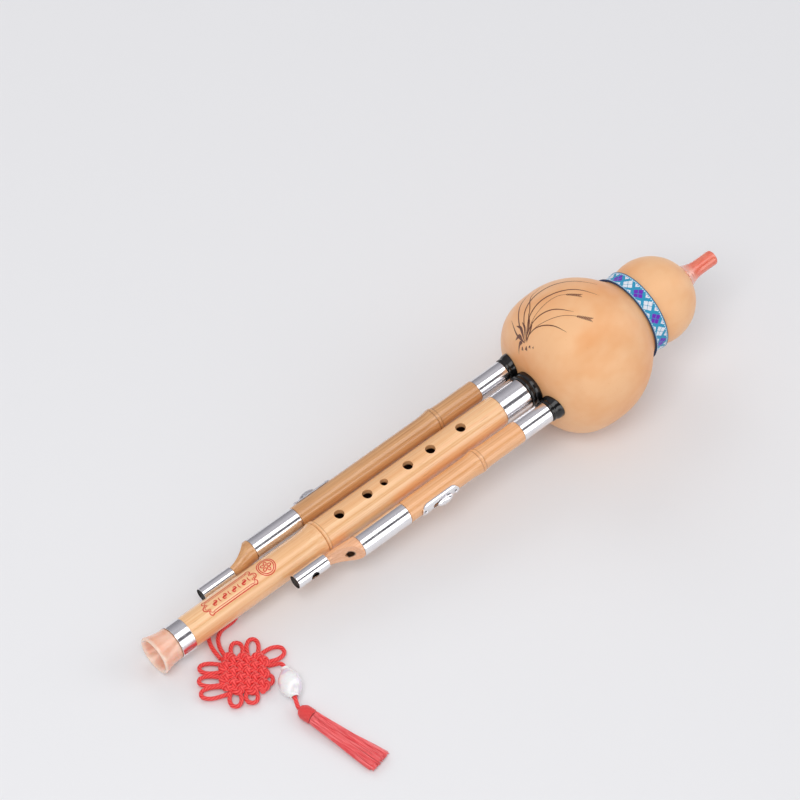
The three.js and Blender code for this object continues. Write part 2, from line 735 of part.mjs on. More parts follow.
function makeDrone(side) {
  const parent = new THREE.Group();
  parent.position.y = side.side * drone.spacing;
  instrument.add(parent);
  const joint = (side.ferruleStart + side.ferruleEnd) / 2;
  const shoulder = droneFace - fit;
  const tenonEnd = shoulder + drone.tenonLength;
  const topStart = shoulder - drone.topFerruleLength;
  let pipe = turned([
    [joint, drone.boreRadius],
    [joint, drone.seatRadius],
    [side.ferruleEnd + fit, drone.seatRadius],
    [side.ferruleEnd + fit, drone.bodyRadius],
    ...nodeRows(drone, drone.bodyRadius, drone.bodyRadius),
    [topStart - fit, drone.bodyRadius],
    [topStart - fit, drone.seatRadius],
    [shoulder, drone.seatRadius],
    [shoulder, drone.tenonRadius],
    [tenonEnd, drone.tenonRadius],
    [tenonEnd, drone.boreRadius],
    [joint, drone.boreRadius],
  ]);
  const turn = -side.side * QUARTER;
  const half = thumbSlide.plateLength / 2;
  const surface = drone.bodyRadius + overrun;
  const vent = drill(thumbSlide.ventRadius, side.switchPlace + thumbSlide.ventOffset, turn, 0, surface);
  const travel = thumbSlide.slotLength - thumbSlide.neckLength;
  const recess = raised(
    stadium(side.switchPlace, thumbSlide.footLength + travel, thumbSlide.footWidth + 2 * fit),
    thumbSlide.recessFloor,
    surface,
    turn,
  );
  pipe = pipe.subtract(vent).subtract(recess);
  [-1, 1].forEach((end) => {
    const at = side.switchPlace + end * (half - thumbSlide.nailInset);
    const depth = drone.bodyRadius - thumbSlide.nailLength;
    pipe = pipe.subtract(drill(thumbSlide.nailRadius + fit, at, turn, depth, surface, 12));
  });
  piece(parent, `${side.name}_pipe`, pipe, 'droneBamboo');
  const inner = drone.seatRadius + fit;
  const topFerrule = sleeve(drone.topFerruleRadius, inner, topStart, shoulder);
  piece(parent, `${side.name}_top_ferrule`, topFerrule, 'chrome');
  const lowerFerrule = sleeve(drone.lowerFerruleRadius, inner, side.ferruleStart, side.ferruleEnd);
  piece(parent, `${side.name}_lower_ferrule`, lowerFerrule, 'chrome');
  makeTail(parent, side);
  makeSlideTube(parent, side);
  makeThumbSlide(parent, side);
  makeSeal(parent, side.name, droneFace, drone.tenonRadius);
  makeReed(parent, side.name, tenonEnd, droneReed);
}

// Knot, pendant and tassel

// Places where the two strands leave the back of the main pipe, and the way they take from there
const strandRoutes = [
  {
    name: 'hanging_cord_near',
    side: -1,
    offsets: [
      [0, 0, 0], [0, -0.3, -1.2], [-0.8, -0.5, -3.8], [-2.8, -0.5, -5.7], [-5.6, -0.5, -6.4], [-9, -0.7, -6.4],
      [-13, -1.7, -6.4], [-16.8, -4.3, -6.4], [-19.4, -8.3, -6.4], [-20.8, -12.4, -6.4], [-21.6, -16.6, -6.3],
    ],
  },
  {
    name: 'hanging_cord_far',
    side: 1,
    offsets: [
      [0, 0, 0], [0, 0.3, -1.2], [-0.8, 0.5, -3.8], [-2.8, 0.5, -5.7], [-5.6, 0.5, -6.4], [-10, 0.2, -6.4],
      [-15, -1.4, -6.4], [-19.6, -4.9, -6.4], [-22.7, -10, -6.4], [-24.3, -16, -6.4], [-24.9, -22.4, -6.3],
    ],
  },
];

// The knot's centre from the middle of the strands' ends, and the tassel cord's points from that centre
const knotDrop = [2.2, -16.7];
const tasselRoute = [
  [14.3, -3.4, 2.65], [16.2, -4.9, 3], [17.9, -6.5, 4.2], [19.4, -8.4, 5.6], [19.6, -10.8, 6.6],
  [18.9, -13.3, 6.95], [14.6, -23, 6.95], [10.6, -32.1, 6.9], [9.6, -34.4, 6.4], [8.8, -36.8, 5.3], [8.3, -38.9, 4.75],
];
const charmFrom = [10.4, -32.6, 6.95];
const charmHeading = degrees(66.2);
const capHeight = 4.75;
const capGap = 0.6;
const tasselHeading = degrees(-76);

function aimed(body, from, heading) {
  return geometryOf(body).rotateZ(heading).translate(...from);
}

// One ear of the knot: a cord that leaves the body, rounds and comes back
function knotLoop(length, width, look) {
  const height = knot.lift + knot.thickness / 2;
  const points = look.map(([across, along]) => new THREE.Vector3(
    across * width,
    along * (length + knot.loopRoot) - knot.loopRoot,
    height,
  ));
  return solid(corded(points, cordRadius, 6, 9));
}

const loopShares = [
  [-0.28, 0], [-0.42, 0.3], [-0.5, 0.68], [-0.3, 0.94], [0, 1], [0.3, 0.94], [0.5, 0.68], [0.42, 0.3], [0.28, 0],
];
const ears = [
  { x: -3.8, y: 12.6, heading: 90, length: 9.5, width: 6.8 },
  { x: 5.2, y: 12.6, heading: 88, length: 12, width: 6.8 },
  { x: 11, y: 11, heading: 26, length: 13.5, width: 8.5 },
  { x: -12.6, y: 4, heading: 180, length: 13, width: 6.8 },
  { x: -12.6, y: -4.8, heading: 181, length: 13.5, width: 6.8 },
  { x: -11, y: -11.5, heading: 192, length: 14.5, width: 7.5 },
  { x: -5.6, y: -12.6, heading: 270, length: 10, width: 6.8 },
  { x: 3.8, y: -12.6, heading: 270, length: 7.5, width: 6.8 },
  { x: 12.6, y: -4, heading: 0, length: 3.6, width: 6.4 },
];

function makeKnot(centre) {
  const half = knot.halfWidth;
  const flat = half - knot.edge - knot.cornerRadius;
  const outline = new THREE.Shape();
  [[1, 1], [-1, 1], [-1, -1], [1, -1]].forEach(([x, y], i) => {
    outline.absarc(x * flat, y * flat, knot.cornerRadius, i * QUARTER, (i + 1) * QUARTER, false);
  });
  const pad = new THREE.ExtrudeGeometry(outline, {
    depth: knot.thickness - 2 * knot.edge,
    bevelThickness: knot.edge,
    bevelSize: knot.edge,
    bevelSegments: 2,
    curveSegments: 3,
  });
  let body = solid(pad.translate(0, 0, knot.lift + knot.edge));
  ears.forEach(({ x, y, heading, length, width }) => {
    const ear = knotLoop(length, width, loopShares);
    body = body.add(ear.rotate([0, 0, heading - 90]).translate([x, y, 0]));
  });
  piece(model, 'knot', geometryOf(body).rotateZ(knot.turn).translate(...centre), 'cord');
}

function makeCharm(centre) {
  const rows = 10;
  const outline = [];
  for (let i = 0; i <= rows; i += 1) {
    const share = (i / rows) ** charm.lean;
    const bulge = charm.radius * Math.sin(2 * QUARTER * share) ** charm.fullness;
    outline.push([(charm.length * i) / rows, Math.max(charm.endRadius, bulge)]);
  }
  outline.push([charm.length, charm.boreRadius]);
  outline.push([0, charm.boreRadius]);
  outline.push(outline[0]);
  const from = [centre[0] + charmFrom[0], centre[1] + charmFrom[1], charmFrom[2]];
  piece(model, 'pendant', aimed(turned(outline, 20), from, charmHeading), 'charm');
}

function makeTassel(centre) {
  const last = tasselRoute[tasselRoute.length - 1];
  const start = [
    centre[0] + last[0] + capGap * Math.cos(tasselHeading),
    centre[1] + last[1] + capGap * Math.sin(tasselHeading),
    capHeight,
  ];
  const cap = turned([
    [0, 0],
    [0, tasselCap.topRadius],
    [tasselCap.length / 3, tasselCap.radius],
    [tasselCap.length, tasselCap.radius],
    [tasselCap.length, 0],
  ], 20);
  piece(model, 'tassel_cap', aimed(cap, start, tasselHeading), 'cord');
  const rows = 8;
  const outline = [[0, 0]];
  for (let i = 0; i <= rows; i += 1) outline.push([(fringe.length * i) / rows, fringe.radius]);
  outline.push([fringe.length, 0]);
  const skirt = turnedGeometry(outline, 20);
  const position = skirt.attributes.position;
  for (let i = 0; i < position.count; i += 1) {
    const share = THREE.MathUtils.clamp(position.getX(i) / fringe.length, 0, 1);
    const wide = THREE.MathUtils.lerp(1, fringe.endWidth / fringe.radius, share);
    const high = THREE.MathUtils.lerp(1, fringe.endHeight / fringe.radius, Math.sqrt(share));
    const drop = capHeight - fringe.lift - fringe.radius * high;
    const sink = THREE.MathUtils.lerp(0, drop, Math.sqrt(share));
    position.setY(i, position.getY(i) * wide);
    position.setZ(i, position.getZ(i) * high - sink);
  }
  const reach = tasselCap.length + fit;
  const from = [
    start[0] + reach * Math.cos(tasselHeading),
    start[1] + reach * Math.sin(tasselHeading),
    capHeight,
  ];
  piece(model, 'tassel_fringe', aimed(solid(skirt), from, tasselHeading), 'cord');
}

function makeHangings() {
  const ends = strandRoutes.map(({ name, side, offsets }) => {
    const turn = side * tasselHoleTurn;
    const surface = main.bodyRadius + fit;
    const exit = instrument.localToWorld(new THREE.Vector3(
      tasselHolePlace,
      side * surface * Math.sin(Math.abs(turn)),
      -surface * Math.cos(turn),
    ));
    const points = offsets.map((offset) => new THREE.Vector3(...offset).add(exit));
    piece(model, name, corded(points, cordRadius, 8, 14), 'cord');
    return points[points.length - 1];
  });
  const centre = [
    (ends[0].x + ends[1].x) / 2 + knotDrop[0],
    (ends[0].y + ends[1].y) / 2 + knotDrop[1],
    0,
  ];
  makeKnot(centre);
  const points = tasselRoute.map((point) => new THREE.Vector3(...point).add(new THREE.Vector3(...centre)));
  piece(model, 'tassel_cord', corded(points, cordRadius, 8, 14), 'cord');
  makeCharm(centre);
  makeTassel(centre);
}

// Assembly: the pipes lie in the instrument's own frame, tilted so that bell and gourd share one surface

makeGourd();
makeWaistBand();
makeMouthpiece();
makeSocket('main_socket', 0, mainFace, main.tenonRadius, mainSocket);
[left, right].forEach((side) => {
  makeSocket(`${side.name}_socket`, side.side * drone.spacing, droneFace, drone.tenonRadius, droneSocket);
});
makeMainPipe();
makeBell();
makeDrone(left);
makeDrone(right);

const bulbFlat = gourd.bulbRadius * Math.cos(Math.PI / fineSides);
const rimFlat = bell.rimRadius * Math.cos(Math.PI / pipeSides);
const lieAngle = Math.asin((bulbFlat - rimFlat) / (gourd.bulbCentre - bell.rimRound));
instrument.rotation.y = -lieAngle;
instrument.updateMatrixWorld(true);
const reachBox = new THREE.Box3().setFromObject(instrument, true);
const middlePoint = reachBox.getCenter(new THREE.Vector3());
instrument.position.set(-middlePoint.x, -middlePoint.y, -reachBox.min.z);
instrument.updateMatrixWorld(true);
makeHangings();

export default model;
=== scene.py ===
"""Hulusi: a gourd wind chest with a fingered bamboo pipe, two drone pipes and a red knot, dressed for looks.

Sizes are written in millimetres in the instrument's own frame: X runs along the pipes from the open end of the
bell towards the mouthpiece, the finger holes face +Z and the right-hand drone lies at -Y. PLACE puts that frame
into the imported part's frame, in metres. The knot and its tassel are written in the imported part's frame.
"""

from __future__ import annotations

import logging
import math
import random
from dataclasses import dataclass, field
from enum import Enum
from typing import Any, Callable, Sequence

import bpy
import bmesh
from mathutils import Matrix, Vector

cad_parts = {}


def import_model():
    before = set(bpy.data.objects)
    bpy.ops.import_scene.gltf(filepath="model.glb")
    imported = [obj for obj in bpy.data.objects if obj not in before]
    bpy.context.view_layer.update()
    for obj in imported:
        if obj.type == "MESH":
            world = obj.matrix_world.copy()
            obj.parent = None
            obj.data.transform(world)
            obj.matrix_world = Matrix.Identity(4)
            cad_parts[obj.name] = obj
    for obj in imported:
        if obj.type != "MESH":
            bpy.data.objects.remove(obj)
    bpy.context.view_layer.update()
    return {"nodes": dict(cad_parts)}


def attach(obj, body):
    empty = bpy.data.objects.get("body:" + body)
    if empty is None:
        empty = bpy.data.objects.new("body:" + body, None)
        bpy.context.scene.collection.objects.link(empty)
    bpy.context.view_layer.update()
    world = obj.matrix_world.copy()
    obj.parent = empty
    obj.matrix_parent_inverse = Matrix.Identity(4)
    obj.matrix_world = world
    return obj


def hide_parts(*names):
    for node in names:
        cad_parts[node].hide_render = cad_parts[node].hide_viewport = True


LOG = logging.getLogger("hulusi")
MM = 0.001

# How the instrument lies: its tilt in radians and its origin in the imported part's frame in millimetres.
LIE_ANGLE = 0.10519
LIE_ORIGIN = (-215.177, 0.0, 12.357)
PLACE = Matrix.Translation(Vector(LIE_ORIGIN) * MM) @ Matrix.Rotation(-LIE_ANGLE, 4, "Y")

# Sizes that several pieces share, in millimetres; FIT is the clearance between pieces that meet.
FIT = 0.3
MAIN_NODE = 123.1
MAIN_BORE = 6.2
DRONE_NODE = 227.8
DRONE_BORE = 3.2
DRONE_SPACING = 19.3
CORD_RADIUS = 1.3

Outline = Sequence[tuple[float, float]]
Pairs = list[tuple[float, float]]
Point = Sequence[float]
Piece = bpy.types.Object
Shape = bmesh.types.BMesh
Tree = bpy.types.NodeTree


# ---- Colour and node helpers


def linear(code: str) -> tuple[float, float, float, float]:
    """Turns an sRGB hex colour into linear light.

    Args:
        code: Six hex digits, such as "f0b478".

    Returns:
        Linear red, green and blue, and an alpha of one.
    """
    values = []
    for start in (0, 2, 4):
        part = int(code[start:start + 2], 16) / 255
        values.append(part / 12.92 if part <= 0.04045 else ((part + 0.055) / 1.055) ** 2.4)
    return values[0], values[1], values[2], 1.0


def add_node(tree: Tree, kind: str, links: dict[Any, Any] | None = None, **settings: Any) -> Any:
    """Adds a node to a tree with its settings, socket values and links.

    Args:
        tree: The node tree that gets the node.
        kind: Blender's name of the node type.
        links: Input socket names or indices, each with an output socket to link or a plain value to set.
        **settings: Properties of the node itself.

    Returns:
        The new node.
    """
    node = tree.nodes.new(kind)
    for name, value in settings.items():
        setattr(node, name, value)
    for key, value in (links or {}).items():
        if isinstance(value, bpy.types.NodeSocket):
            tree.links.new(value, node.inputs[key])
        else:
            node.inputs[key].default_value = value
    return node


# ---- Mesh helpers


def place_mesh(name: str, shape: Shape, place: Matrix = PLACE) -> Piece:
    """Turns a bmesh into a smooth-shaded object in the scene.

    Args:
        name: The object's name.
        shape: The mesh, in metres, which is freed.
        place: The object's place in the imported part's frame.

    Returns:
        The new object.
    """
    mesh = bpy.data.meshes.new(name)
    shape.to_mesh(mesh)
    shape.free()
    mesh.shade_smooth()
    piece = bpy.data.objects.new(name, mesh)
    bpy.context.scene.collection.objects.link(piece)
    piece.matrix_world = place
    return piece


def finish_mesh(name: str, shape: Shape, angle: float = 35.0, place: Matrix = PLACE) -> Piece:
    """Places a closed bmesh with its faces outwards and its edges crisp.

    Args:
        name: The object's name.
        shape: The mesh, in metres, which is freed.
        angle: Edges sharper than this many degrees stay crisp.
        place: The object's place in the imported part's frame.

    Returns:
        The new object.
    """
    bmesh.ops.recalc_face_normals(shape, faces=shape.faces[:])
    piece = place_mesh(name, shape, place)
    piece.data.set_sharp_from_angle(angle=math.radians(angle))
    return piece


def bridge(shape: Shape, rows: Sequence[Sequence[Any]], closed: bool = True) -> list[list[Any]]:
    """Joins rows of points by four-sided faces.

    Args:
        shape: The mesh that gets the faces.
        rows: Rows with as many points each.
        closed: Whether each row ends where it began.

    Returns:
        The faces between each row and the next.
    """
    faces = []
    for low, high in zip(rows, rows[1:]):
        span = len(low)
        faces.append([shape.faces.new((low[k], low[(k + 1) % span], high[(k + 1) % span], high[k]))
                      for k in range(span if closed else span - 1)])
    return faces


def turned_shape(outline: Outline, segments: int = 96, centre: Point = (0.0, 0.0)) -> Shape:
    """Turns an outline round the X axis, with a seam underneath and a map in turns and millimetres.

    Args:
        outline: Pairs of place along X and radius, which start and end on the axis or close on themselves.
        segments: Faces round the axis.
        centre: The axis in Y and Z.

    Returns:
        The turned mesh, in metres.
    """
    shape = bmesh.new()
    layer = shape.loops.layers.uv.new("UVMap")
    closed = outline[0] == outline[-1]
    steps = list(outline[:-1]) if closed else list(outline)
    rows: list[list[bmesh.types.BMVert]] = []
    for place, radius in steps:
        count = 1 if radius < 1e-6 else segments
        row = []
        for k in range(count):
            turn = 2 * math.pi * k / segments
            y = centre[0] + radius * math.sin(turn)
            z = centre[1] - radius * math.cos(turn)
            row.append(shape.verts.new((place * MM, y * MM, z * MM)))
        rows.append(row)
    run = [0.0]
    for (a, p), (b, q) in zip(outline, outline[1:]):
        run.append(run[-1] + math.hypot(b - a, q - p))
    pairs = [(i, i + 1) for i in range(len(steps) - 1)]
    if closed:
        pairs.append((len(steps) - 1, 0))
    for order, (i, j) in enumerate(pairs):
        low, high = rows[i], rows[j]
        for k in range(segments):
            corners = [(low, k, order), (low, k + 1, order), (high, k + 1, order + 1), (high, k, order + 1)]
            if len(low) == 1:
                corners.pop(0)
            elif len(high) == 1:
                corners.pop(2)
            if len(low) == 1 and len(high) == 1:
                continue
            face = shape.faces.new([row[0] if len(row) == 1 else row[at % segments] for row, at, _ in corners])
            for loop, (_, at, step) in zip(face.loops, corners):
                loop[layer].uv = (at / segments, run[step])
    return shape


def turned(name: str, outline: Outline, segments: int = 96, centre: Point = (0.0, 0.0)) -> Piece:
    """Makes a turned object in the instrument's frame, from the same arguments as turned_shape."""
    return finish_mesh(name, turned_shape(outline, segments, centre))


def rod_outline(radius: float, start: float, end: float) -> Pairs:
    """Gives the outline of a plain rod between two places."""
    return [(start, 0.0), (start, radius), (end, radius), (end, 0.0)]


def sleeve_outline(outer: float, inner: float, start: float, end: float) -> Pairs:
    """Gives the closed outline of a plain sleeve between two places."""
    return [(start, inner), (start, outer), (end, outer), (end, inner), (start, inner)]


def ring_outline(outer: float, inner: float, start: float, end: float, edge: float = 0.3) -> Pairs:
    """Gives a sleeve's closed outline with rounded outer edges and rows that keep its gloss straight.

    Args:
        outer: Its outer radius.
        inner: Its inner radius.
        start: Place of its first end.
        end: Place of its last end.
        edge: Radius of the rounding.

    Returns:
        Pairs of place and radius.
    """
    turns = (0.0, 0.4, 0.8, 1.2, math.pi / 2)
    bend = [(edge * (1 - math.cos(turn)), edge * (1 - math.sin(turn))) for turn in turns]
    count = max(2, round((end - start) / 4))
    low, high = start + 1.6 * edge, end - 1.6 * edge
    straight = [(low + (high - low) * i / count, outer) for i in range(count + 1)]
    return [(start, inner), *((start + along, outer - down) for along, down in bend), *straight,
            *((end - along, outer - down) for along, down in reversed(bend)), (end, inner), (start, inner)]


def across(radius: float, place: float, turn: float, reach: float, segments: int = 40) -> Shape:
    """Makes a drill that points across the pipe.

    Args:
        radius: The drill's radius.
        place: Its place along X.
        turn: Its direction in radians, from straight up towards -Y.
        reach: How far it runs from the axis.
        segments: Faces round the drill.

    Returns:
        The drill, in metres.
    """
    shape = bmesh.new()
    bmesh.ops.create_cone(shape, cap_ends=True, segments=segments, radius1=radius * MM, radius2=radius * MM,
                          depth=reach * MM)
    middle = Matrix.Translation((0, 0, reach / 2 * MM))
    matrix = Matrix.Translation((place * MM, 0, 0)) @ Matrix.Rotation(turn, 4, "X") @ middle
    bmesh.ops.transform(shape, matrix=matrix, verts=shape.verts)
    return shape


def raised(outline: Outline, low: float, high: float, turn: float = 0.0) -> Shape:
    """Raises a flat outline in X and Y between two heights and turns it round X.

    Args:
        outline: Corners in X and Y.
        low: The lower height.
        high: The upper height.
        turn: The turn round X in radians.

    Returns:
        The prism, in metres.
    """
    shape = bmesh.new()
    base, lid = [[shape.verts.new((x * MM, y * MM, z * MM)) for x, y in outline] for z in (low, high)]
    shape.faces.new(list(reversed(base)))
    shape.faces.new(lid)
    bridge(shape, (base, lid))
    bmesh.ops.transform(shape, matrix=Matrix.Rotation(turn, 4, "X"), verts=shape.verts)
    return shape


def stadium(centre: float, length: float, width: float, steps: int = 14) -> Pairs:
    """Gives a slot's outline with round ends, in X and Y.

    Args:
        centre: Its middle along X.
        length: Its length over the round ends.
        width: Its width.
        steps: Steps round each end.

    Returns:
        The outline's corners.
    """
    half = length / 2 - width / 2
    corners = []
    for side, start in ((1, -math.pi / 2), (-1, math.pi / 2)):
        for k in range(steps + 1):
            turn = start + math.pi * k / steps
            corners.append((centre + side * half + width / 2 * math.cos(turn), width / 2 * math.sin(turn)))
    return corners


def apply_modifiers(piece: Piece) -> Piece:
    """Replaces a piece's mesh by the result of its modifiers.

    Args:
        piece: The object with modifiers.

    Returns:
        The same object.
    """
    graph = bpy.context.evaluated_depsgraph_get()
    result = bpy.data.meshes.new_from_object(piece.evaluated_get(graph), preserve_all_data_layers=True,
                                             depsgraph=graph)
    piece.modifiers.clear()
    old = piece.data
    piece.data = result
    bpy.data.meshes.remove(old)
    return piece


class Join(Enum):
    """How one solid meets another."""

    CUT = "DIFFERENCE"
    ADD = "UNION"
    KEEP = "INTERSECT"


def combine(piece: Piece, tools: Sequence[Shape], how: Join = Join.CUT) -> Piece:
    """Cuts tools from a piece, adds them to it or keeps what they share.

    Args:
        piece: The object that changes.
        tools: Meshes in the same frame as the piece, which are freed.
        how: What is done with the tools.

    Returns:
        The same object.
    """
    helpers = []
    for tool in tools:
        helper = finish_mesh("tool", tool, place=piece.matrix_world.copy())
        modifier = piece.modifiers.new("join", "BOOLEAN")
        modifier.operation = how.value
        modifier.solver = "EXACT"
        modifier.object = helper
        helpers.append(helper)
    apply_modifiers(piece)
    for helper in helpers:
        mesh = helper.data
        bpy.data.objects.remove(helper)
        bpy.data.meshes.remove(mesh)
    return piece


def soften(piece: Piece, width: float, segments: int = 2, angle: float = 38.0) -> Piece:
    """Rounds a piece's edges.

    Args:
        piece: The object that changes.
        width: Width of the rounding.
        segments: Faces across it.
        angle: Only edges sharper than this many degrees are rounded.

    Returns:
        The same object.
    """
    bevel = piece.modifiers.new("round", "BEVEL")
    bevel.width = width * MM
    bevel.segments = segments
    bevel.limit_method = "ANGLE"
    bevel.angle_limit = math.radians(angle)
    bevel.harden_normals = False
    apply_modifiers(piece)
    piece.data.shade_smooth()
    piece.data.set_sharp_from_angle(angle=math.radians(40))
    even = piece.modifiers.new("even", "WEIGHTED_NORMAL")
    even.keep_sharp = True
    apply_modifiers(piece)
    return piece


def smooth_path(points: Sequence[Point], step: float) -> list[Vector]:
    """Runs a centripetal spline through points and walks it in even steps.

    Args:
        points: The points the path goes through.
        step: The distance between the points it gives.

    Returns:
        The points of the path.
    """
    steps = 24
    knots = [Vector(p) for p in points]
    ends = [knots[0] * 2 - knots[1]] + knots + [knots[-1] * 2 - knots[-2]]
    fine: list[Vector] = []
    for i in range(len(knots) - 1):
        p0, p1, p2, p3 = ends[i:i + 4]
        t1 = max((p1 - p0).length, 1e-9) ** 0.5
        t2 = t1 + max((p2 - p1).length, 1e-9) ** 0.5
        t3 = t2 + max((p3 - p2).length, 1e-9) ** 0.5
        for k in range(steps):
            t = t1 + (t2 - t1) * k / steps
            a1 = p0 * ((t1 - t) / t1) + p1 * (t / t1)
            a2 = p1 * ((t2 - t) / (t2 - t1)) + p2 * ((t - t1) / (t2 - t1))
            a3 = p2 * ((t3 - t) / (t3 - t2)) + p3 * ((t - t2) / (t3 - t2))
            b1 = a1 * ((t2 - t) / t2) + a2 * (t / t2)
            b2 = a2 * ((t3 - t) / (t3 - t1)) + a3 * ((t - t1) / (t3 - t1))
            fine.append(b1 * ((t2 - t) / (t2 - t1)) + b2 * ((t - t1) / (t2 - t1)))
    fine.append(knots[-1])
    total = sum((b - a).length for a, b in zip(fine, fine[1:]))
    count = max(2, round(total / step))
    walk = [fine[0]]
    gone = 0.0
    target = total / count
    for a, b in zip(fine, fine[1:]):
        part = (b - a).length
        while part > 0 and gone + part >= target - 1e-9 and len(walk) < count:
            walk.append(a + (b - a) * ((target - gone) / part))
            target += total / count
        gone += part
    walk.append(fine[-1])
    return walk


def tube_shape(path: Sequence[Vector], radius: float, sides: int = 14) -> Shape:
    """Wraps a closed tube round a path, with a map in turns and millimetres.

    Args:
        path: Points in millimetres.
        radius: The tube's radius.
        sides: Faces round the tube.

    Returns:
        The tube, in metres.
    """
    shape = bmesh.new()
    layer = shape.loops.layers.uv.new("UVMap")
    heading = (path[1] - path[0]).normalized()
    side = heading.cross(Vector((0, 0, 1)))
    if side.length < 1e-3:
        side = heading.cross(Vector((0, 1, 0)))
    side.normalize()
    rows = []
    run = [0.0]
    for i, point in enumerate(path):
        ahead = (path[min(i + 1, len(path) - 1)] - path[max(i - 1, 0)]).normalized()
        side = (side - ahead * side.dot(ahead)).normalized()
        over = ahead.cross(side)
        row = []
        for k in range(sides):
            turn = 2 * math.pi * k / sides
            spot = point + side * (radius * math.cos(turn)) + over * (radius * math.sin(turn))
            row.append(shape.verts.new(spot * MM))
        rows.append(row)
        if i:
            run.append(run[-1] + (path[i] - path[i - 1]).length)
    for i, faces in enumerate(bridge(shape, rows)):
        for k, face in enumerate(faces):
            marks = ((k, i), (k + 1, i), (k + 1, i + 1), (k, i + 1))
            for loop, (at, row) in zip(face.loops, marks):
                loop[layer].uv = (at / sides, run[row])
    shape.faces.new(list(reversed(rows[0])))
    shape.faces.new(rows[-1])
    return shape


def merged(shapes: Sequence[Shape]) -> Shape:
    """Puts several meshes into one, side by side.

    Args:
        shapes: The meshes, which are freed.

    Returns:
        The mesh that holds them all.
    """
    whole = bmesh.new()
    for shape in shapes:
        part = bpy.data.meshes.new("part")
        shape.to_mesh(part)
        shape.free()
        whole.from_mesh(part)
        bpy.data.meshes.remove(part)
    return whole


def dress(piece: Piece, finish: "Finish", body: str, slot: str, *nodes: str) -> Piece:
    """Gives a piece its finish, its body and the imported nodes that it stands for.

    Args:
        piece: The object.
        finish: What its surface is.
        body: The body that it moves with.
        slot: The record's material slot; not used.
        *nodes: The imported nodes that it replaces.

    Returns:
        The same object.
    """
    piece.data.materials.clear()
    piece.data.materials.append(finish.material())
    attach(piece, body)
    if nodes:
        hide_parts(*nodes)
    LOG.info("%s: %d faces", piece.name, len(piece.data.polygons))
    return piece


# ---- Finishes


@dataclass(frozen=True)
class Finish:
    """A surface finish, made once and shared by the pieces that have it."""

    name: str

    def material(self) -> bpy.types.Material:
        """Gives the material, making it on its first use.

        Returns:
            The shared material.
        """
        made = bpy.data.materials.get(self.name)
        if made:
            return made
        made = bpy.data.materials.new(self.name)
        made.use_nodes = True
        tree = made.node_tree
        self.paint(tree, tree.nodes["Principled BSDF"])
        return made

    def paint(self, tree: Tree, shader: Any) -> None:
        """Sets the shader for this finish; each finish has its own."""


def plain_map(tree: Tree, scale: Point, source: str = "Object") -> Any:
    """Gives the object's own coordinates, or those of its UV map, scaled along each axis."""
    place = add_node(tree, "ShaderNodeTexCoord").outputs[source]
    return add_node(tree, "ShaderNodeMapping", {"Vector": place, "Scale": scale}).outputs[0]


def noise_of(tree: Tree, scale: Point, detail: float) -> Any:
    """Gives a noise value whose grain is one over the scale, in metres, along each axis of the object.

    Args:
        tree: The node tree.
        scale: Scale along X, Y and Z.
        detail: How many finer grains lie over the first.

    Returns:
        The socket with values from 0 to 1.
    """
    noise = add_node(tree, "ShaderNodeTexNoise", {"Vector": plain_map(tree, scale), "Scale": 1.0,
                                                 "Detail": detail, "Roughness": 0.6})
    return noise.outputs["Fac"]


def ramp_of(tree: Tree, value: Any, stops: Sequence[tuple[float, str]]) -> Any:
    """Turns a value into a colour through stops of place and sRGB hex.

    Args:
        tree: The node tree.
        value: The socket with the value.
        stops: Places from 0 to 1, each with its colour.

    Returns:
        The colour socket.
    """
    ramp = add_node(tree, "ShaderNodeValToRGB", {"Fac": value})
    bar = ramp.color_ramp
    while len(bar.elements) < len(stops):
        bar.elements.new(0.5)
    for element, (place, code) in zip(bar.elements, stops):
        element.position = place
        element.color = linear(code)
    return ramp.outputs["Color"]


def spread(tree: Tree, value: Any, low: float, high: float, start: float, end: float) -> Any:
    """Maps a value from one range to another, clamped at its ends."""
    links = {"Value": value, "From Min": low, "From Max": high, "To Min": start, "To Max": end}
    return add_node(tree, "ShaderNodeMapRange", links).outputs["Result"]


def mixed(tree: Tree, share: Any, first: Any, second: Any) -> Any:
    """Mixes two colours, each a socket or a linear colour, by the second one's share."""
    return add_node(tree, "ShaderNodeMix", {0: share, 6: first, 7: second}, data_type="RGBA").outputs[2]


def bump_of(tree: Tree, height: Any, depth: float, strength: float = 1.0, under: Any = None) -> Any:
    """Turns a height into a normal.

    Args:
        tree: The node tree.
        height: The socket with heights from 0 to 1.
        depth: The real depth in millimetres.
        strength: Share of the effect.
        under: A normal socket that it adds to.

    Returns:
        The normal socket.
    """
    links = {"Height": height, "Distance": depth * MM, "Strength": strength}
    if under is not None:
        links["Normal"] = under
    return add_node(tree, "ShaderNodeBump", links).outputs["Normal"]


def set_shader(tree: Tree, shader: Any, **values: Any) -> None:
    """Sets or links the shader's sockets, named with underscores for spaces.

    Args:
        tree: The node tree.
        shader: The Principled shader.
        **values: A socket to link or a plain value for each.
    """
    for key, value in values.items():
        socket = shader.inputs[key.replace("_", " ")]
        if isinstance(value, bpy.types.NodeSocket):
            tree.links.new(value, socket)
        else:
            socket.default_value = value


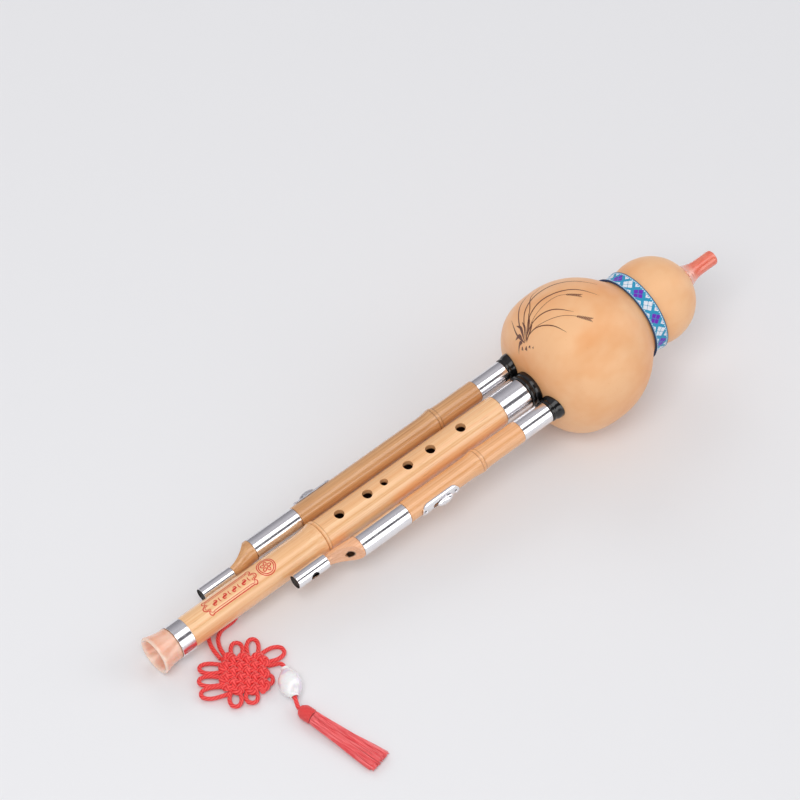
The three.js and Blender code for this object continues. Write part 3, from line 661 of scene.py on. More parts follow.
@dataclass(frozen=True)
class LacqueredGourd(Finish):
    """Dried gourd skin, scraped, dyed and lacquered: a warm even glow, faint mottling and a satin gloss."""

    pale: str = "f6c08e"
    deep: str = "efa96f"
    fleck: str = "c98348"

    def paint(self, tree: Tree, shader: Any) -> None:
        """Sets clouds of 40 mm, pores of 1.2 mm and a thin satin lacquer over them.

        Args:
            tree: The material's node tree.
            shader: Its Principled shader.
        """
        clouds = noise_of(tree, (22, 30, 30), 3)
        colour = ramp_of(tree, clouds, ((0.3, self.deep), (0.6, self.pale)))
        veins = noise_of(tree, (14, 110, 110), 4)
        colour = mixed(tree, spread(tree, veins, 0.52, 0.78, 0.0, 0.22), colour, linear(self.deep))
        pores = noise_of(tree, (820, 820, 820), 2)
        colour = mixed(tree, spread(tree, pores, 0.68, 0.8, 0.0, 0.35), colour, linear(self.fleck))
        dents = noise_of(tree, (45, 45, 45), 2)
        normal = bump_of(tree, dents, 0.3, 0.4)
        normal = bump_of(tree, pores, 0.03, 0.4, normal)
        set_shader(tree, shader, Base_Color=colour, Roughness=0.5, Normal=normal, Coat_Weight=0.35,
                   Coat_Roughness=0.32, Coat_IOR=1.45, Specular_IOR_Level=0.4)


@dataclass(frozen=True)
class LacqueredBamboo(Finish):
    """Bamboo culm, scraped to its straight fibres and lacquered: fine long streaks under a thin clear gloss."""

    pale: str = "fbcf9c"
    deep: str = "eeae74"
    fibre: str = "b5763a"
    # Dark brown of the bore: raw unlacquered bamboo, darkened further as painted shade.
    raw_and_shaded_bore: str = "3b2314"
    node: float = MAIN_NODE
    bore: float = MAIN_BORE
    bore_start: float = 0.0

    def paint(self, tree: Tree, shader: Any) -> None:
        """Sets streaks of 1.1 mm along the culm, fibre ends of 0.5 mm, a fine-lined node and a bore painted
        dark brown: raw bamboo darkened with painted shade.

        Args:
            tree: The material's node tree.
            shader: Its Principled shader.
        """
        streaks = noise_of(tree, (9, 900, 900), 4)
        colour = ramp_of(tree, streaks, ((0.3, self.deep), (0.66, self.pale)))
        tone = noise_of(tree, (16, 40, 40), 3)
        colour = mixed(tree, spread(tree, tone, 0.45, 0.78, 0.0, 0.5), colour, linear(self.deep))
        fibres = noise_of(tree, (55, 2000, 2000), 2)
        colour = mixed(tree, spread(tree, fibres, 0.6, 0.76, 0.0, 0.42), colour, linear(self.fibre))
        parts = add_node(tree, "ShaderNodeSeparateXYZ", {0: plain_map(tree, (1000, 1000, 1000))}).outputs
        wave = add_node(tree, "ShaderNodeMath", {0: tone, 1: 1.2, 2: parts["X"]},
                        operation="MULTIPLY_ADD").outputs[0]
        for line, strength in ((self.node - 0.4, 0.6), (self.node + 2.1, 0.45)):
            away = add_node(tree, "ShaderNodeMath", {0: wave, 1: line}, operation="SUBTRACT").outputs[0]
            off = add_node(tree, "ShaderNodeMath", {0: away}, operation="ABSOLUTE").outputs[0]
            colour = mixed(tree, spread(tree, off, 0.15, 0.6, strength, 0.0), colour, linear(self.fibre))
        # Painted shade: near the axis, from bore_start on, the bore is coloured dark brown, as if shade falls
        # inside it.
        flat = add_node(tree, "ShaderNodeCombineXYZ", {"Y": parts["Y"], "Z": parts["Z"]}).outputs[0]
        radius = add_node(tree, "ShaderNodeVectorMath", {0: flat}, operation="LENGTH").outputs["Value"]
        within = spread(tree, radius, self.bore + 0.15, self.bore + 0.9, 1.0, 0.0)
        beyond = spread(tree, parts["X"], self.bore_start, self.bore_start + 1, 0.0, 1.0)
        inside = add_node(tree, "ShaderNodeMath", {0: within, 1: beyond}, operation="MULTIPLY").outputs[0]
        colour = mixed(tree, inside, colour, linear(self.raw_and_shaded_bore))
        normal = bump_of(tree, streaks, 0.05, 0.6)
        set_shader(tree, shader, Base_Color=colour, Roughness=0.42, Normal=normal, Coat_Weight=1.0,
                   Coat_Roughness=0.1, Coat_IOR=1.52)


@dataclass(frozen=True)
class PolishedChrome(Finish):
    """Brass sleeve, turned and chrome plated: bright, with faint turning marks round it."""

    tint: str = "f1f0f2"
    roughness: float = 0.12

    def paint(self, tree: Tree, shader: Any) -> None:
        """Sets turning marks of 0.3 mm in the gloss and light handling smears.

        Args:
            tree: The material's node tree.
            shader: Its Principled shader.
        """
        marks = noise_of(tree, (3200, 60, 60), 2)
        smears = noise_of(tree, (90, 90, 90), 3)
        smeared = spread(tree, smears, 0.4, 0.7, 0.0, 0.07)
        marked = spread(tree, marks, 0.3, 0.7, self.roughness, self.roughness + 0.05)
        rough = add_node(tree, "ShaderNodeMath", {0: smeared, 1: marked}).outputs[0]
        colour = mixed(tree, spread(tree, smears, 0.5, 0.8, 0.0, 0.3), linear(self.tint), linear("d2d1d6"))
        set_shader(tree, shader, Base_Color=colour, Metallic=1.0, Roughness=rough)


@dataclass(frozen=True)
class MouldedBlack(Finish):
    """ABS, moulded and polished: deep black with a clean gloss."""

    tint: str = "121213"
    low: float = 0.05
    high: float = 0.12

    def paint(self, tree: Tree, shader: Any) -> None:
        """Sets a faint ripple of 8 mm as a moulding has, and dust-fine scratches.

        Args:
            tree: The material's node tree.
            shader: Its Principled shader.
        """
        ripple = noise_of(tree, (120, 120, 120), 2)
        fine = noise_of(tree, (1500, 300, 300), 2)
        rough = spread(tree, fine, 0.4, 0.75, self.low, self.high)
        colour = mixed(tree, spread(tree, fine, 0.55, 0.8, 0.0, 0.3), linear(self.tint), linear("2a2a2c"))
        set_shader(tree, shader, Base_Color=colour, Roughness=rough, Normal=bump_of(tree, ripple, 0.05, 0.5),
                   IOR=1.53)


@dataclass(frozen=True)
class CastResin(Finish):
    """Polyester resin, cast and polished like horn or jade: milky depth, cloudy swirls and a wet gloss."""

    pale: str = "f8cdb6"
    deep: str = "efae8f"
    edge: str = "f9dccb"
    depth: float = 0.3
    edge_start: float = 2.2
    edge_end: float = 0.6

    def paint(self, tree: Tree, shader: Any) -> None:
        """Sets clouds of 12 mm drawn out along the piece, a paler end and a little light that goes through.

        Args:
            tree: The material's node tree.
            shader: Its Principled shader.
        """
        swirls = noise_of(tree, (60, 120, 120), 5)
        colour = ramp_of(tree, swirls, ((0.34, self.deep), (0.66, self.pale)))
        place = add_node(tree, "ShaderNodeSeparateXYZ", {0: plain_map(tree, (1000, 1000, 1000))}).outputs["X"]
        near_end = spread(tree, place, self.edge_start, self.edge_end, 0.0, 0.8)
        colour = mixed(tree, near_end, colour, linear(self.edge))
        set_shader(tree, shader, Base_Color=colour, Roughness=0.22, Subsurface_Weight=self.depth,
                   Subsurface_Scale=0.004, Coat_Weight=0.5, Coat_Roughness=0.08, IOR=1.55)
        shader.inputs["Subsurface Radius"].default_value = (1.0, 0.45, 0.25)


@dataclass(frozen=True)
class WovenThread(Finish):
    """Polyester ribbon thread: matte stitches with a slight sheen, each standing proud of its neighbours."""

    tint: str = "35a0c8"
    shade: str = "1f7ba3"

    def paint(self, tree: Tree, shader: Any) -> None:
        """Sets fibres of 0.3 mm over stitches of about 0.4 mm.

        Args:
            tree: The material's node tree.
            shader: Its Principled shader.
        """
        fibres = noise_of(tree, (3000, 3000, 3000), 2)
        colour = mixed(tree, spread(tree, fibres, 0.35, 0.7, 0.0, 0.6), linear(self.tint), linear(self.shade))
        set_shader(tree, shader, Base_Color=colour, Roughness=0.85, Normal=bump_of(tree, fibres, 0.06, 0.8),
                   Sheen_Weight=0.2, Sheen_Roughness=0.4)


@dataclass(frozen=True)
class TwistedCord(Finish):
    """Nylon satin cord, braided round a core: bright red with slanting strands 1.3 mm apart."""

    bright: str = "ff5c59"
    deep: str = "d41f26"
    strands: float = 5.0
    pitch: float = 2.4

    def paint(self, tree: Tree, shader: Any) -> None:
        """Sets slanting grooves between the strands from the map in turns and millimetres, 2.4 mm along it,
        with painted shade in deep red down the grooves and painted light in bright red on the crowns.

        Args:
            tree: The material's node tree.
            shader: Its Principled shader.
        """
        parts = add_node(tree, "ShaderNodeSeparateXYZ", {0: plain_map(tree, (1, 1, 1), "UV")})
        along = add_node(tree, "ShaderNodeMath", {0: parts.outputs["Y"], 1: 1 / self.pitch},
                         operation="MULTIPLY").outputs[0]
        spiral = add_node(tree, "ShaderNodeMath", {0: parts.outputs["X"], 1: self.strands, 2: along},
                          operation="MULTIPLY_ADD").outputs[0]
        wave = add_node(tree, "ShaderNodeMath", {0: spiral, 1: 2 * math.pi}, operation="MULTIPLY").outputs[0]
        swell = add_node(tree, "ShaderNodeMath", {0: wave}, operation="SINE").outputs[0]
        height = spread(tree, swell, -1.0, 0.6, 0.0, 1.0)
        threads = noise_of(tree, (2500, 2500, 2500), 2)
        # Painted shade and light: deep red in the grooves between strands, bright red on their crowns.
        colour = mixed(tree, height, linear(self.deep), linear(self.bright))
        colour = mixed(tree, spread(tree, threads, 0.5, 0.8, 0.0, 0.2), colour, linear(self.deep))
        normal = bump_of(tree, height, 0.2, 0.6)
        set_shader(tree, shader, Base_Color=colour, Roughness=0.42, Normal=normal, Sheen_Weight=0.35,
                   Sheen_Roughness=0.35, Specular_IOR_Level=0.4)


@dataclass(frozen=True)
class SilkThread(Finish):
    """Rayon tassel thread: fine parallel strands with a long soft sheen."""

    bright: str = "fb8384"
    deep: str = "e2383f"

    def paint(self, tree: Tree, shader: Any) -> None:
        """Sets a change of tone from strand to strand, about 0.8 mm across.

        Args:
            tree: The material's node tree.
            shader: Its Principled shader.
        """
        tones = noise_of(tree, (50, 1300, 1300), 2)
        colour = ramp_of(tree, tones, ((0.32, self.deep), (0.62, self.bright)))
        set_shader(tree, shader, Base_Color=colour, Roughness=0.42, Sheen_Weight=0.3, Sheen_Roughness=0.3,
                   Anisotropic=0.4)


@dataclass(frozen=True)
class GlazedPorcelain(Finish):
    """Porcelain bead, glazed and fired: cool white under a glassy glaze, with a faint lilac bloom."""

    tint: str = "f6f5f5"
    bloom: str = "dccfea"

    def paint(self, tree: Tree, shader: Any) -> None:
        """Sets a bloom of 9 mm in the glaze.

        Args:
            tree: The material's node tree.
            shader: Its Principled shader.
        """
        cloud = noise_of(tree, (110, 110, 110), 2)
        colour = mixed(tree, spread(tree, cloud, 0.52, 0.68, 0.0, 0.75), linear(self.tint), linear(self.bloom))
        set_shader(tree, shader, Base_Color=colour, Roughness=0.25, Coat_Weight=1.0, Coat_Roughness=0.04,
                   Subsurface_Weight=0.1, Subsurface_Scale=0.002)


@dataclass(frozen=True)
class SheetBrass(Finish):
    """Brass, drawn and filed: warm yellow metal with fine lengthwise scratches."""

    tint: str = "d0a54c"

    def paint(self, tree: Tree, shader: Any) -> None:
        """Sets file marks of 0.4 mm and a darker bloom.

        Args:
            tree: The material's node tree.
            shader: Its Principled shader.
        """
        marks = noise_of(tree, (40, 2400, 2400), 3)
        cloud = noise_of(tree, (150, 150, 150), 3)
        colour = mixed(tree, spread(tree, cloud, 0.45, 0.75, 0.0, 0.6), linear(self.tint), linear("9a7230"))
        set_shader(tree, shader, Base_Color=colour, Metallic=1.0,
                   Roughness=spread(tree, marks, 0.3, 0.7, 0.2, 0.42), Normal=bump_of(tree, marks, 0.02, 0.5))


@dataclass(frozen=True)
class WaxedThread(Finish):
    """Cotton thread, waxed and wound side by side: off-white turns 0.5 mm apart."""

    tint: str = "dccba4"
    shade: str = "a8905f"
    pitch: float = 0.5

    def paint(self, tree: Tree, shader: Any) -> None:
        """Sets a groove between neighbouring turns, coloured darker there as painted shade.

        Args:
            tree: The material's node tree.
            shader: Its Principled shader.
        """
        place = add_node(tree, "ShaderNodeSeparateXYZ", {0: plain_map(tree, (1000, 1000, 1000))}).outputs["X"]
        wave = add_node(tree, "ShaderNodeMath", {0: place, 1: 2 * math.pi / self.pitch},
                        operation="MULTIPLY").outputs[0]
        swell = add_node(tree, "ShaderNodeMath", {0: wave}, operation="SINE").outputs[0]
        height = spread(tree, swell, -1.0, 1.0, 0.0, 1.0)
        # Painted shade: the groove between turns takes the darker shade tone.
        colour = mixed(tree, height, linear(self.shade), linear(self.tint))
        set_shader(tree, shader, Base_Color=colour, Roughness=0.75, Normal=bump_of(tree, height, 0.15))


@dataclass(frozen=True)
class BrushedInk(Finish):
    """Ink or burnt line on lacquer: a thin flat film whose edge takes the grain under it."""

    tint: str = "8a4a20"
    thin: str = "b9743c"

    def paint(self, tree: Tree, shader: Any) -> None:
        """Sets patches of thinner ink about 1.5 mm across.

        Args:
            tree: The material's node tree.
            shader: Its Principled shader.
        """
        patches = noise_of(tree, (650, 650, 650), 3)
        colour = mixed(tree, spread(tree, patches, 0.45, 0.7, 0.0, 0.8), linear(self.tint), linear(self.thin))
        set_shader(tree, shader, Base_Color=colour, Roughness=0.5, Coat_Weight=0.4, Coat_Roughness=0.15)


GOURD_SKIN = LacqueredGourd("lacquered_gourd_skin")
MAIN_BAMBOO = LacqueredBamboo("lacquered_bamboo_main")
LEFT_BAMBOO = LacqueredBamboo("lacquered_bamboo_left", "dda873", "bd824c", "7d4c22", node=DRONE_NODE,
                              bore=DRONE_BORE)
RIGHT_BAMBOO = LacqueredBamboo("lacquered_bamboo_right", "f8be8a", "e39f62", "9d6030", node=DRONE_NODE,
                               bore=DRONE_BORE)
# A carved tail has no node, and the painted shade in its bore begins where the scoop opens it.
LEFT_TAIL = LacqueredBamboo("lacquered_bamboo_left_tail", "e2b07c", "c98c55", "8a5628", node=0.0, bore=2.4,
                            bore_start=79.2)
RIGHT_TAIL = LacqueredBamboo("lacquered_bamboo_right_tail", "fac39a", "eba674", "a8673a", node=0.0, bore=2.4,
                             bore_start=127.8)
CHROME = PolishedChrome("polished_chrome_plate")
BLACK_ABS = MouldedBlack("polished_black_abs")
MATTE_ABS = MouldedBlack("sanded_black_abs", "0c0c0d", low=0.6, high=0.8)
BELL_RESIN = CastResin("cast_resin_peach")
STEM_RESIN = CastResin("cast_resin_rose", "f58a70", "e4614a", "f3bfae", depth=0.2, edge_start=416.5,
                       edge_end=411.0)
CORD_NYLON = TwistedCord("braided_nylon_cord")
SILK = SilkThread("rayon_tassel_thread")
PORCELAIN = GlazedPorcelain("glazed_porcelain")
BRASS = SheetBrass("filed_sheet_brass")
WAXED = WaxedThread("waxed_cotton_thread")
BROWN_INK = BrushedInk("burnt_umber_ink", tint="5f3424", thin="8a5433")
RED_INK = BrushedInk("vermilion_ink", tint="d0291f", thin="e2523c")
RIBBON_THREADS = {
    "blue": WovenThread("ribbon_thread_blue"),
    "violet": WovenThread("ribbon_thread_violet", "7a2fc4", "4c1a91"),
    "white": WovenThread("ribbon_thread_white", "f1f3f8", "b9c6dd"),
    "navy": WovenThread("ribbon_thread_navy", "254a86", "15305f"),
    "pale": WovenThread("ribbon_thread_pale", "8fd0e6", "4fa6cc"),
    "rose": WovenThread("ribbon_thread_rose", "d9a9dc", "9a6bb8"),
}


# ---- Painted lines


@dataclass(frozen=True)
class Stroke:
    """One brush line: points along the surface in millimetres and its width at the start, middle and end."""

    points: tuple[tuple[float, float], ...]
    widths: tuple[float, float, float] = (0.5, 0.9, 0.2)

    def edge_rows(self, surface: Callable[[float, float], Vector]) -> list[list[Vector]]:
        """Walks the line and lays three points across it on the surface.

        Args:
            surface: Maps a place and an arc in millimetres to a point.

        Returns:
            Rows of three points each.
        """
        path = smooth_path([(a, b, 0.0) for a, b in self.points], 0.8)
        first, middle, last = self.widths
        rows = []
        for i, point in enumerate(path):
            ahead = (path[min(i + 1, len(path) - 1)] - path[max(i - 1, 0)]).normalized()
            share = i / (len(path) - 1)
            if share < 0.5:
                width = first + (middle - first) * math.sin(share * math.pi)
            else:
                width = last + (middle - last) * math.sin(share * math.pi)
            aside = Vector((-ahead.y, ahead.x, 0.0)) * width / 2
            rows.append([surface(p.x, p.y) for p in (point - aside, point, point + aside)])
        return rows


def painted(name: str, strokes: Sequence[Stroke], surface: Callable[[float, float], Vector]) -> Piece:
    """Lays brush lines on a surface as thin films.

    Args:
        name: The object's name.
        strokes: The lines.
        surface: Maps a place and an arc in millimetres to a point just over the surface.

    Returns:
        The new object.
    """
    shape = bmesh.new()
    for stroke in strokes:
        rows = [[shape.verts.new(p * MM) for p in row] for row in stroke.edge_rows(surface)]
        bridge(shape, rows, closed=False)
    return place_mesh(name, shape)


# ---- Gourd


@dataclass
class GourdChest:
    """The gourd with its woven band and mouthpiece."""

    bulb_centre: float = 322.8
    bulb_radius: float = 45.96
    bottom_depth: float = 36.3
    squareness: float = 2.8
    shoulder: float = math.radians(45.6)
    top_centre: float = 60.0
    top_radius: float = 27.1
    top_start: float = math.radians(-17)
    neck_radius: float = 8.5
    shoulder_ease: float = 11.0
    waist_ease: float = 9.0
    wall: float = 3.5
    band_start: float = 39.5
    band_width: float = 10.1
    band_thickness: float = 1.5
    band_crown: float = 0.25
    band_rows: int = 24
    motifs: int = 18
    motif_width: int = 24
    socket_holes: tuple[tuple[float, float], ...] = ((0.0, 10.4), (DRONE_SPACING, 7.3), (-DRONE_SPACING, 7.3))
    stem_length: float = 24.6
    stem_bore: float = 5.3
    painting_shift: float = -6.0
    painting_turn: float = math.radians(-11)
    painting_scale: float = 0.85
    painting_radius: float = 40.0

    @property
    def top(self) -> float:
        """Gives the place of the gourd's top."""
        return self.bulb_centre + self.top_centre + math.sqrt(self.top_radius ** 2 - self.neck_radius ** 2)

    def outline(self, grow: float = 0.0, rows: int = 22) -> Pairs:
        """Gives the gourd's outline with its skin moved out.

        Args:
            grow: How far the skin moves out.
            rows: Steps along each stretch.

        Returns:
            Pairs of place and radius from the bottom to the top, both on the axis.
        """
        power = 2 / self.squareness
        radius = self.bulb_radius + grow
        line = []
        for i in range(rows + 1):
            turn = math.pi / 2 * i / rows
            depth = (self.bottom_depth + grow) * max(0.0, math.cos(turn)) ** power
            line.append((-depth, radius * math.sin(turn) ** power))
        for i in range(1, rows // 2):
            turn = self.shoulder * i / (rows // 2)
            line.append((radius * math.sin(turn), radius * math.cos(turn)))
        top = self.top_radius + grow
        start = Vector((radius * math.sin(self.shoulder), radius * math.cos(self.shoulder)))
        end = Vector((self.top_centre + top * math.sin(self.top_start), top * math.cos(self.top_start)))
        leave = start + Vector((math.cos(self.shoulder), -math.sin(self.shoulder))) * self.shoulder_ease
        arrive = end - Vector((math.cos(self.top_start), -math.sin(self.top_start))) * self.waist_ease
        for i in range(rows + 1):
            t = i / rows
            near = start * (1 - t) ** 3 + leave * (3 * t * (1 - t) ** 2)
            point = near + arrive * (3 * t * t * (1 - t)) + end * t ** 3
            line.append((point.x, point.y))
        last = math.acos((self.neck_radius + min(grow, 0.0)) / top)
        for i in range(1, rows + 1):
            turn = self.top_start + (last - self.top_start) * i / rows
            line.append((self.top_centre + top * math.sin(turn), top * math.cos(turn)))
        line.append((line[-1][0], 0.0))
        return [(place + self.bulb_centre, width) for place, width in line]

    def radius_at(self, place: float, grow: float = 0.0) -> float:
        """Gives the gourd's radius at a place along the axis.

        Args:
            place: The place.
            grow: How far the skin is moved out.

        Returns:
            The radius, or zero beyond the gourd.
        """
        line = self.outline(grow)
        for (a, p), (b, q) in zip(line, line[1:]):
            if a <= place <= b and b > a:
                return p + (q - p) * (place - a) / (b - a)
        return 0.0

    def build(self) -> None:
        """Builds the gourd, its painting, its band and its mouthpiece."""
        skin = turned("gourd_shell", self.outline(), 144)
        hollow = turned_shape(self.outline(-self.wall, 12), 72)
        bottom = self.bulb_centre - self.bottom_depth
        tools = [hollow]
        for offset, radius in self.socket_holes:
            tools.append(turned_shape(rod_outline(radius, bottom - 1, bottom + 10), 64, (offset, 0.0)))
        tools.append(turned_shape(rod_outline(self.stem_bore, self.top - 10, self.top + 1), 48))
        combine(skin, tools)
        soften(skin, 0.35)
        dress(skin, GOURD_SKIN, "gourd", "gourd_shell", "gourd_lower", "gourd_upper")
        self.paint_grass()
        self.weave_band()
        self.turn_stem()

    def paint_grass(self) -> None:
        """Paints a tuft of marsh grass with two seed heads on the side that faces up."""
        film, first = 0.05, 280
        radii = [(first + k / 2, self.radius_at(first + k / 2, film)) for k in range(200)]

        def surface(along: float, arc: float) -> Vector:
            """Finds a point on the gourd's skin.

            Args:
                along: Its place from the bulb's centre, before the painting's shift.
                arc: Its way round from the painting's middle.

            Returns:
                The point, just over the skin.
            """
            place = self.bulb_centre + along + self.painting_shift
            at = min(len(radii) - 2, max(0, int((place - first) * 2)))
            (a, p), (b, q) = radii[at], radii[at + 1]
            radius = p + (q - p) * (place - a) / (b - a)
            turn = self.painting_turn + arc * self.painting_scale / self.painting_radius
            return Vector((place, -radius * math.sin(turn), radius * math.cos(turn)))

        blades = (
            ((-25, -8), (-13, -20), (4, -24), (20, -17), (31, -4)),
            ((-25, -7), (-14, -13), (0, -14), (15, -6), (24, 8)),
            ((-25.5, -8), (-20, -20), (-11, -29), (1, -34)), ((-25, -7), (-16, -7), (-5, -2), (3, 9)),
            ((-25.5, -9), (-24, -21), (-19, -32)), ((-25, -7), (-18, -2), (-12, 7), (-9, 17)),
            ((-24.5, -7), (-12, -16), (-2, -27), (9, -30)),
        )
        strokes = [Stroke(blade, (0.35, 1.1 - 0.08 * k, 0.1)) for k, blade in enumerate(blades)]
        for a, b, heading, length in ((-25.4, -10.4, -92, 12), (-25, -9.4, -74, 14), (-24.8, -8.2, -57, 11),
                                      (-24.6, -6.8, -38, 14), (-25, -5.6, -16, 9), (-25.8, -11.4, -110, 8)):
            lean = math.radians(heading)
            tip = (a + length * math.cos(lean), b + length * math.sin(lean))
            middle = (a + length * 0.5 * math.cos(lean + 0.22), b + length * 0.5 * math.sin(lean + 0.22))
            strokes.append(Stroke(((a, b), middle, tip), (0.35, 1.3, 0.06)))
        for stalk in (((-24.5, -7), (-10, -9), (5, -8), (14, 1)), ((-24.5, -7), (-14, 0), (-2, 8), (7, 19))):
            strokes.append(Stroke(stalk, (0.3, 0.35, 0.2)))
            walk = smooth_path([(a, b, 0.0) for a, b in stalk], 1.0)
            for k in range(9):
                root, ahead = walk[-1 - k], (walk[-1] - walk[-5]).normalized()
                for side in (-1, 1):
                    grain = Matrix.Rotation(side * 0.6, 3, "Z") @ ahead * (2.6 - 0.12 * k)
                    strokes.append(Stroke(((root.x, root.y), (root.x + grain.x * 0.6, root.y + grain.y * 0.6),
                                           (root.x + grain.x, root.y + grain.y)), (0.12, 0.5, 0.08)))
        for a, b, size in ((-27, -5, 1.0), (-26, -1, 0.7), (-27.5, -11, 0.8), (-25.5, 3, 0.5)):
            strokes.append(Stroke(((a, b - 1.6 * size), (a + 0.5, b), (a, b + 1.6 * size)), (0.3, size, 0.3)))
        dress(painted("gourd_grass_painting", strokes, surface), BROWN_INK, "gourd", "gourd_shell")

    def stitch(self, row: int, column: int) -> str:
        """Gives a stitch's thread: flowers between small lozenges, with three rows of edging on either side.

        Args:
            row: The stitch's row across the ribbon.
            column: Its place round the ribbon.

        Returns:
            The thread's name.
        """
        edging = min(row, self.band_rows - 1 - row)
        if edging < 2:
            return ("navy", "pale")[edging]
        if edging == 2:
            return "white" if column // 2 % 2 else "blue"
        motif, x = divmod(column, self.motif_width)
        x = abs(x + 0.5 - self.motif_width / 2)
        y = abs(row + 0.5 - self.band_rows / 2)
        if x + y < 9.4 and abs(x - y) > 0.9:
            return "white" if motif % 2 else "violet"
        corner = abs(self.motif_width / 2 - x) + abs(self.band_rows / 2 - 3 - y)
        if corner < 4.4:
            return "rose" if corner < 1.6 else "white"
        return "blue"

    def weave_band(self) -> None:
        """Weaves the ribbon round the waist, with one face for each stitch."""
        columns = self.motifs * self.motif_width
        names = list(RIBBON_THREADS)
        shape = bmesh.new()
        layer = shape.loops.layers.uv.new("UVMap")

        def ring(row: int, grow: float, crown: float = 0.0) -> list[Any]:
            """Sets a row's points round the waist.

            Args:
                row: The row across the ribbon.
                grow: How far it lies off the gourd's skin.
                crown: How far it stands out beyond that.

            Returns:
                The points.
            """
            place = self.bulb_centre + self.band_start + self.band_width * row / self.band_rows
            radius = self.radius_at(place, grow) + crown
            turns = [2 * math.pi * k / columns for k in range(columns)]
            return [shape.verts.new((place * MM, -radius * math.sin(turn) * MM, radius * math.cos(turn) * MM))
                    for turn in turns]

        edge = FIT + self.band_thickness - 0.15
        front = [ring(row, edge, self.band_crown * math.sin(math.pi * row / self.band_rows))
                 for row in range(self.band_rows + 1)]
        back = [ring(row, FIT) for row in (0, self.band_rows)]
        for row, faces in enumerate(bridge(shape, front)):
            for column, face in enumerate(faces):
                face.material_index = names.index(self.stitch(row, column))
                for loop, mark in zip(face.loops, ((0, 0), (1, 0), (1, 1), (0, 1))):
                    loop[layer].uv = mark
        for pair in ((back[0], front[0]), (back[1], front[-1]), back):
            for face in bridge(shape, pair)[0]:
                face.material_index = names.index("navy")
        band = finish_mesh("waist_ribbon", shape, 50)
        for thread in RIBBON_THREADS.values():
            band.data.materials.append(thread.material())
        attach(band, "gourd")
        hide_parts("waist_band")
        LOG.info("waist_ribbon: %d stitches", self.band_rows * columns)

    def turn_stem(self) -> None:
        """Turns the mouthpiece: a ribbed foot that sweeps into a slim stem with a rounded lip."""
        base = self.top + FIT
        tip = base + self.stem_length - 0.05
        spigot, foot, stem_radius, bore = base - 5.5, base + 0.9, 4.85, 2.2
        line = [(spigot, bore), (spigot, 5.0), (base, 5.0), (base, 7.6), (base + 0.35, 8.1), (foot, 8.2)]
        rows = 18
        for i in range(1, rows + 1):
            share = i / rows
            swell = (8.0 - stem_radius) * (1 - share) ** 2
            rib = 0.14 * math.sin(share * 9 * math.pi) * (1 - share)
            line.append((foot + 11.6 * share, stem_radius + swell + rib))
        line += [(base + 17, 4.78), (tip - 3, 4.9), (tip - 1.2, stem_radius), (tip - 0.5, 4.6),
                 (tip - 0.1, 4.1), (tip, 3.5), (tip, 2.6), (tip - 0.5, 2.25), (tip - 1.2, bore), (spigot, bore)]
        stem = turned("mouthpiece_stem", line, 72)
        dress(stem, STEM_RESIN, "gourd", "pink_resin", "mouthpiece")


@dataclass
class PipeSocket:
    """A black socket: a ridged flange shaped to the gourd and a sleeve through its wall.

    Attributes:
        label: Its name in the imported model.
        offset: Its axis in Y.
        face: Place of the flange's face.
        flange: Radius of the flange.
        sleeve: Radius of the sleeve.
        bore: Radius of the hole for the pipe.
        flared: Whether the flange flares out to the gourd.
        depth: Depth of the flange, before the gourd is cut from it.
        reach: How far in the sleeve ends.
    """

    label: str
    offset: float
    face: float
    flange: float
    sleeve: float
    bore: float
    flared: bool = True
    depth: float = 12.3
    reach: float = 16.0

    def build(self, gourd: GourdChest) -> None:
        """Builds the socket.

        Args:
            gourd: The gourd that shapes its back.
        """
        if self.flared:
            steps = ((0.0, -1.2), (0.3, -0.8), (0.9, -0.6), (1.7, -0.6), (2.0, -1.0), (2.4, -1.05),
                     (2.8, -0.75), (3.6, -0.3), (4.6, 0.0), (6.0, 0.12), (self.depth, 0.12))
        else:
            steps = ((0.0, -1.0), (0.25, -0.4), (0.7, -0.08), (1.3, 0.0), (1.9, -0.25), (2.3, -0.9),
                     (3.0, -0.95), (3.4, -0.3), (3.9, 0.0), (self.depth, 0.0))
        centre, start, end = (self.offset, 0.0), self.face, self.face + self.reach
        line = [(start, 0.0), *((start + along, self.flange + out) for along, out in steps),
                (start + self.depth, 0.0)]
        collar = turned(f"{self.label}_socket_collar", line, 72, centre)
        combine(collar, [turned_shape(gourd.outline(FIT, 16), 120)])
        combine(collar, [turned_shape(rod_outline(self.sleeve, start + 0.6, end), 64, centre)], Join.ADD)
        combine(collar, [turned_shape(rod_outline(self.bore, start - 1, end + 1), 64, centre)])
        soften(collar, 0.2)
        dress(collar, BLACK_ABS, "gourd", "black_plastic", f"{self.label}_socket")


# ---- Pipes


@dataclass
class Culm:
    """A bamboo culm's outside: plain radii below and above one node, with the groove beside it.

    Attributes:
        node: Place of the node's crest.
        node_radius: Radius there.
        low: Radius below the node.
        high: Radius above it.
        spread: Length of the swelling below it.
        decay: Length of the swelling above it.
        groove: Depth of the groove beside the crest.
        groove_width: Width of that groove.
    """

    node: float
    node_radius: float
    low: float
    high: float
    spread: float
    decay: float
    groove: float
    groove_width: float

    def rows(self, count: int = 9) -> Pairs:
        """Gives the outline from below the node to above it.

        Args:
            count: Steps on either side.

        Returns:
            Pairs of place and radius.
        """
        line = []
        for i in range(1, count + 1):
            share = i / count
            place = self.node - self.spread * (1 - share) - self.groove_width
            line.append((place, self.low + (self.node_radius - self.low) * share ** 2.2))
        for along, depth in ((-0.72, 0.5), (-0.5, 1.0), (-0.25, 0.3), (0.0, 0.0), (0.4, 0.0), (0.75, 0.6)):
            line.append((self.node + self.groove_width * along, self.node_radius - self.groove * depth))
        shoulder = self.node_radius - self.groove
        for i in range(count + 1):
            share = i / count
            place = self.node + self.groove_width + self.decay * share
            line.append((place, self.high + (shoulder - self.high) * (1 - share) ** 2))
        return line


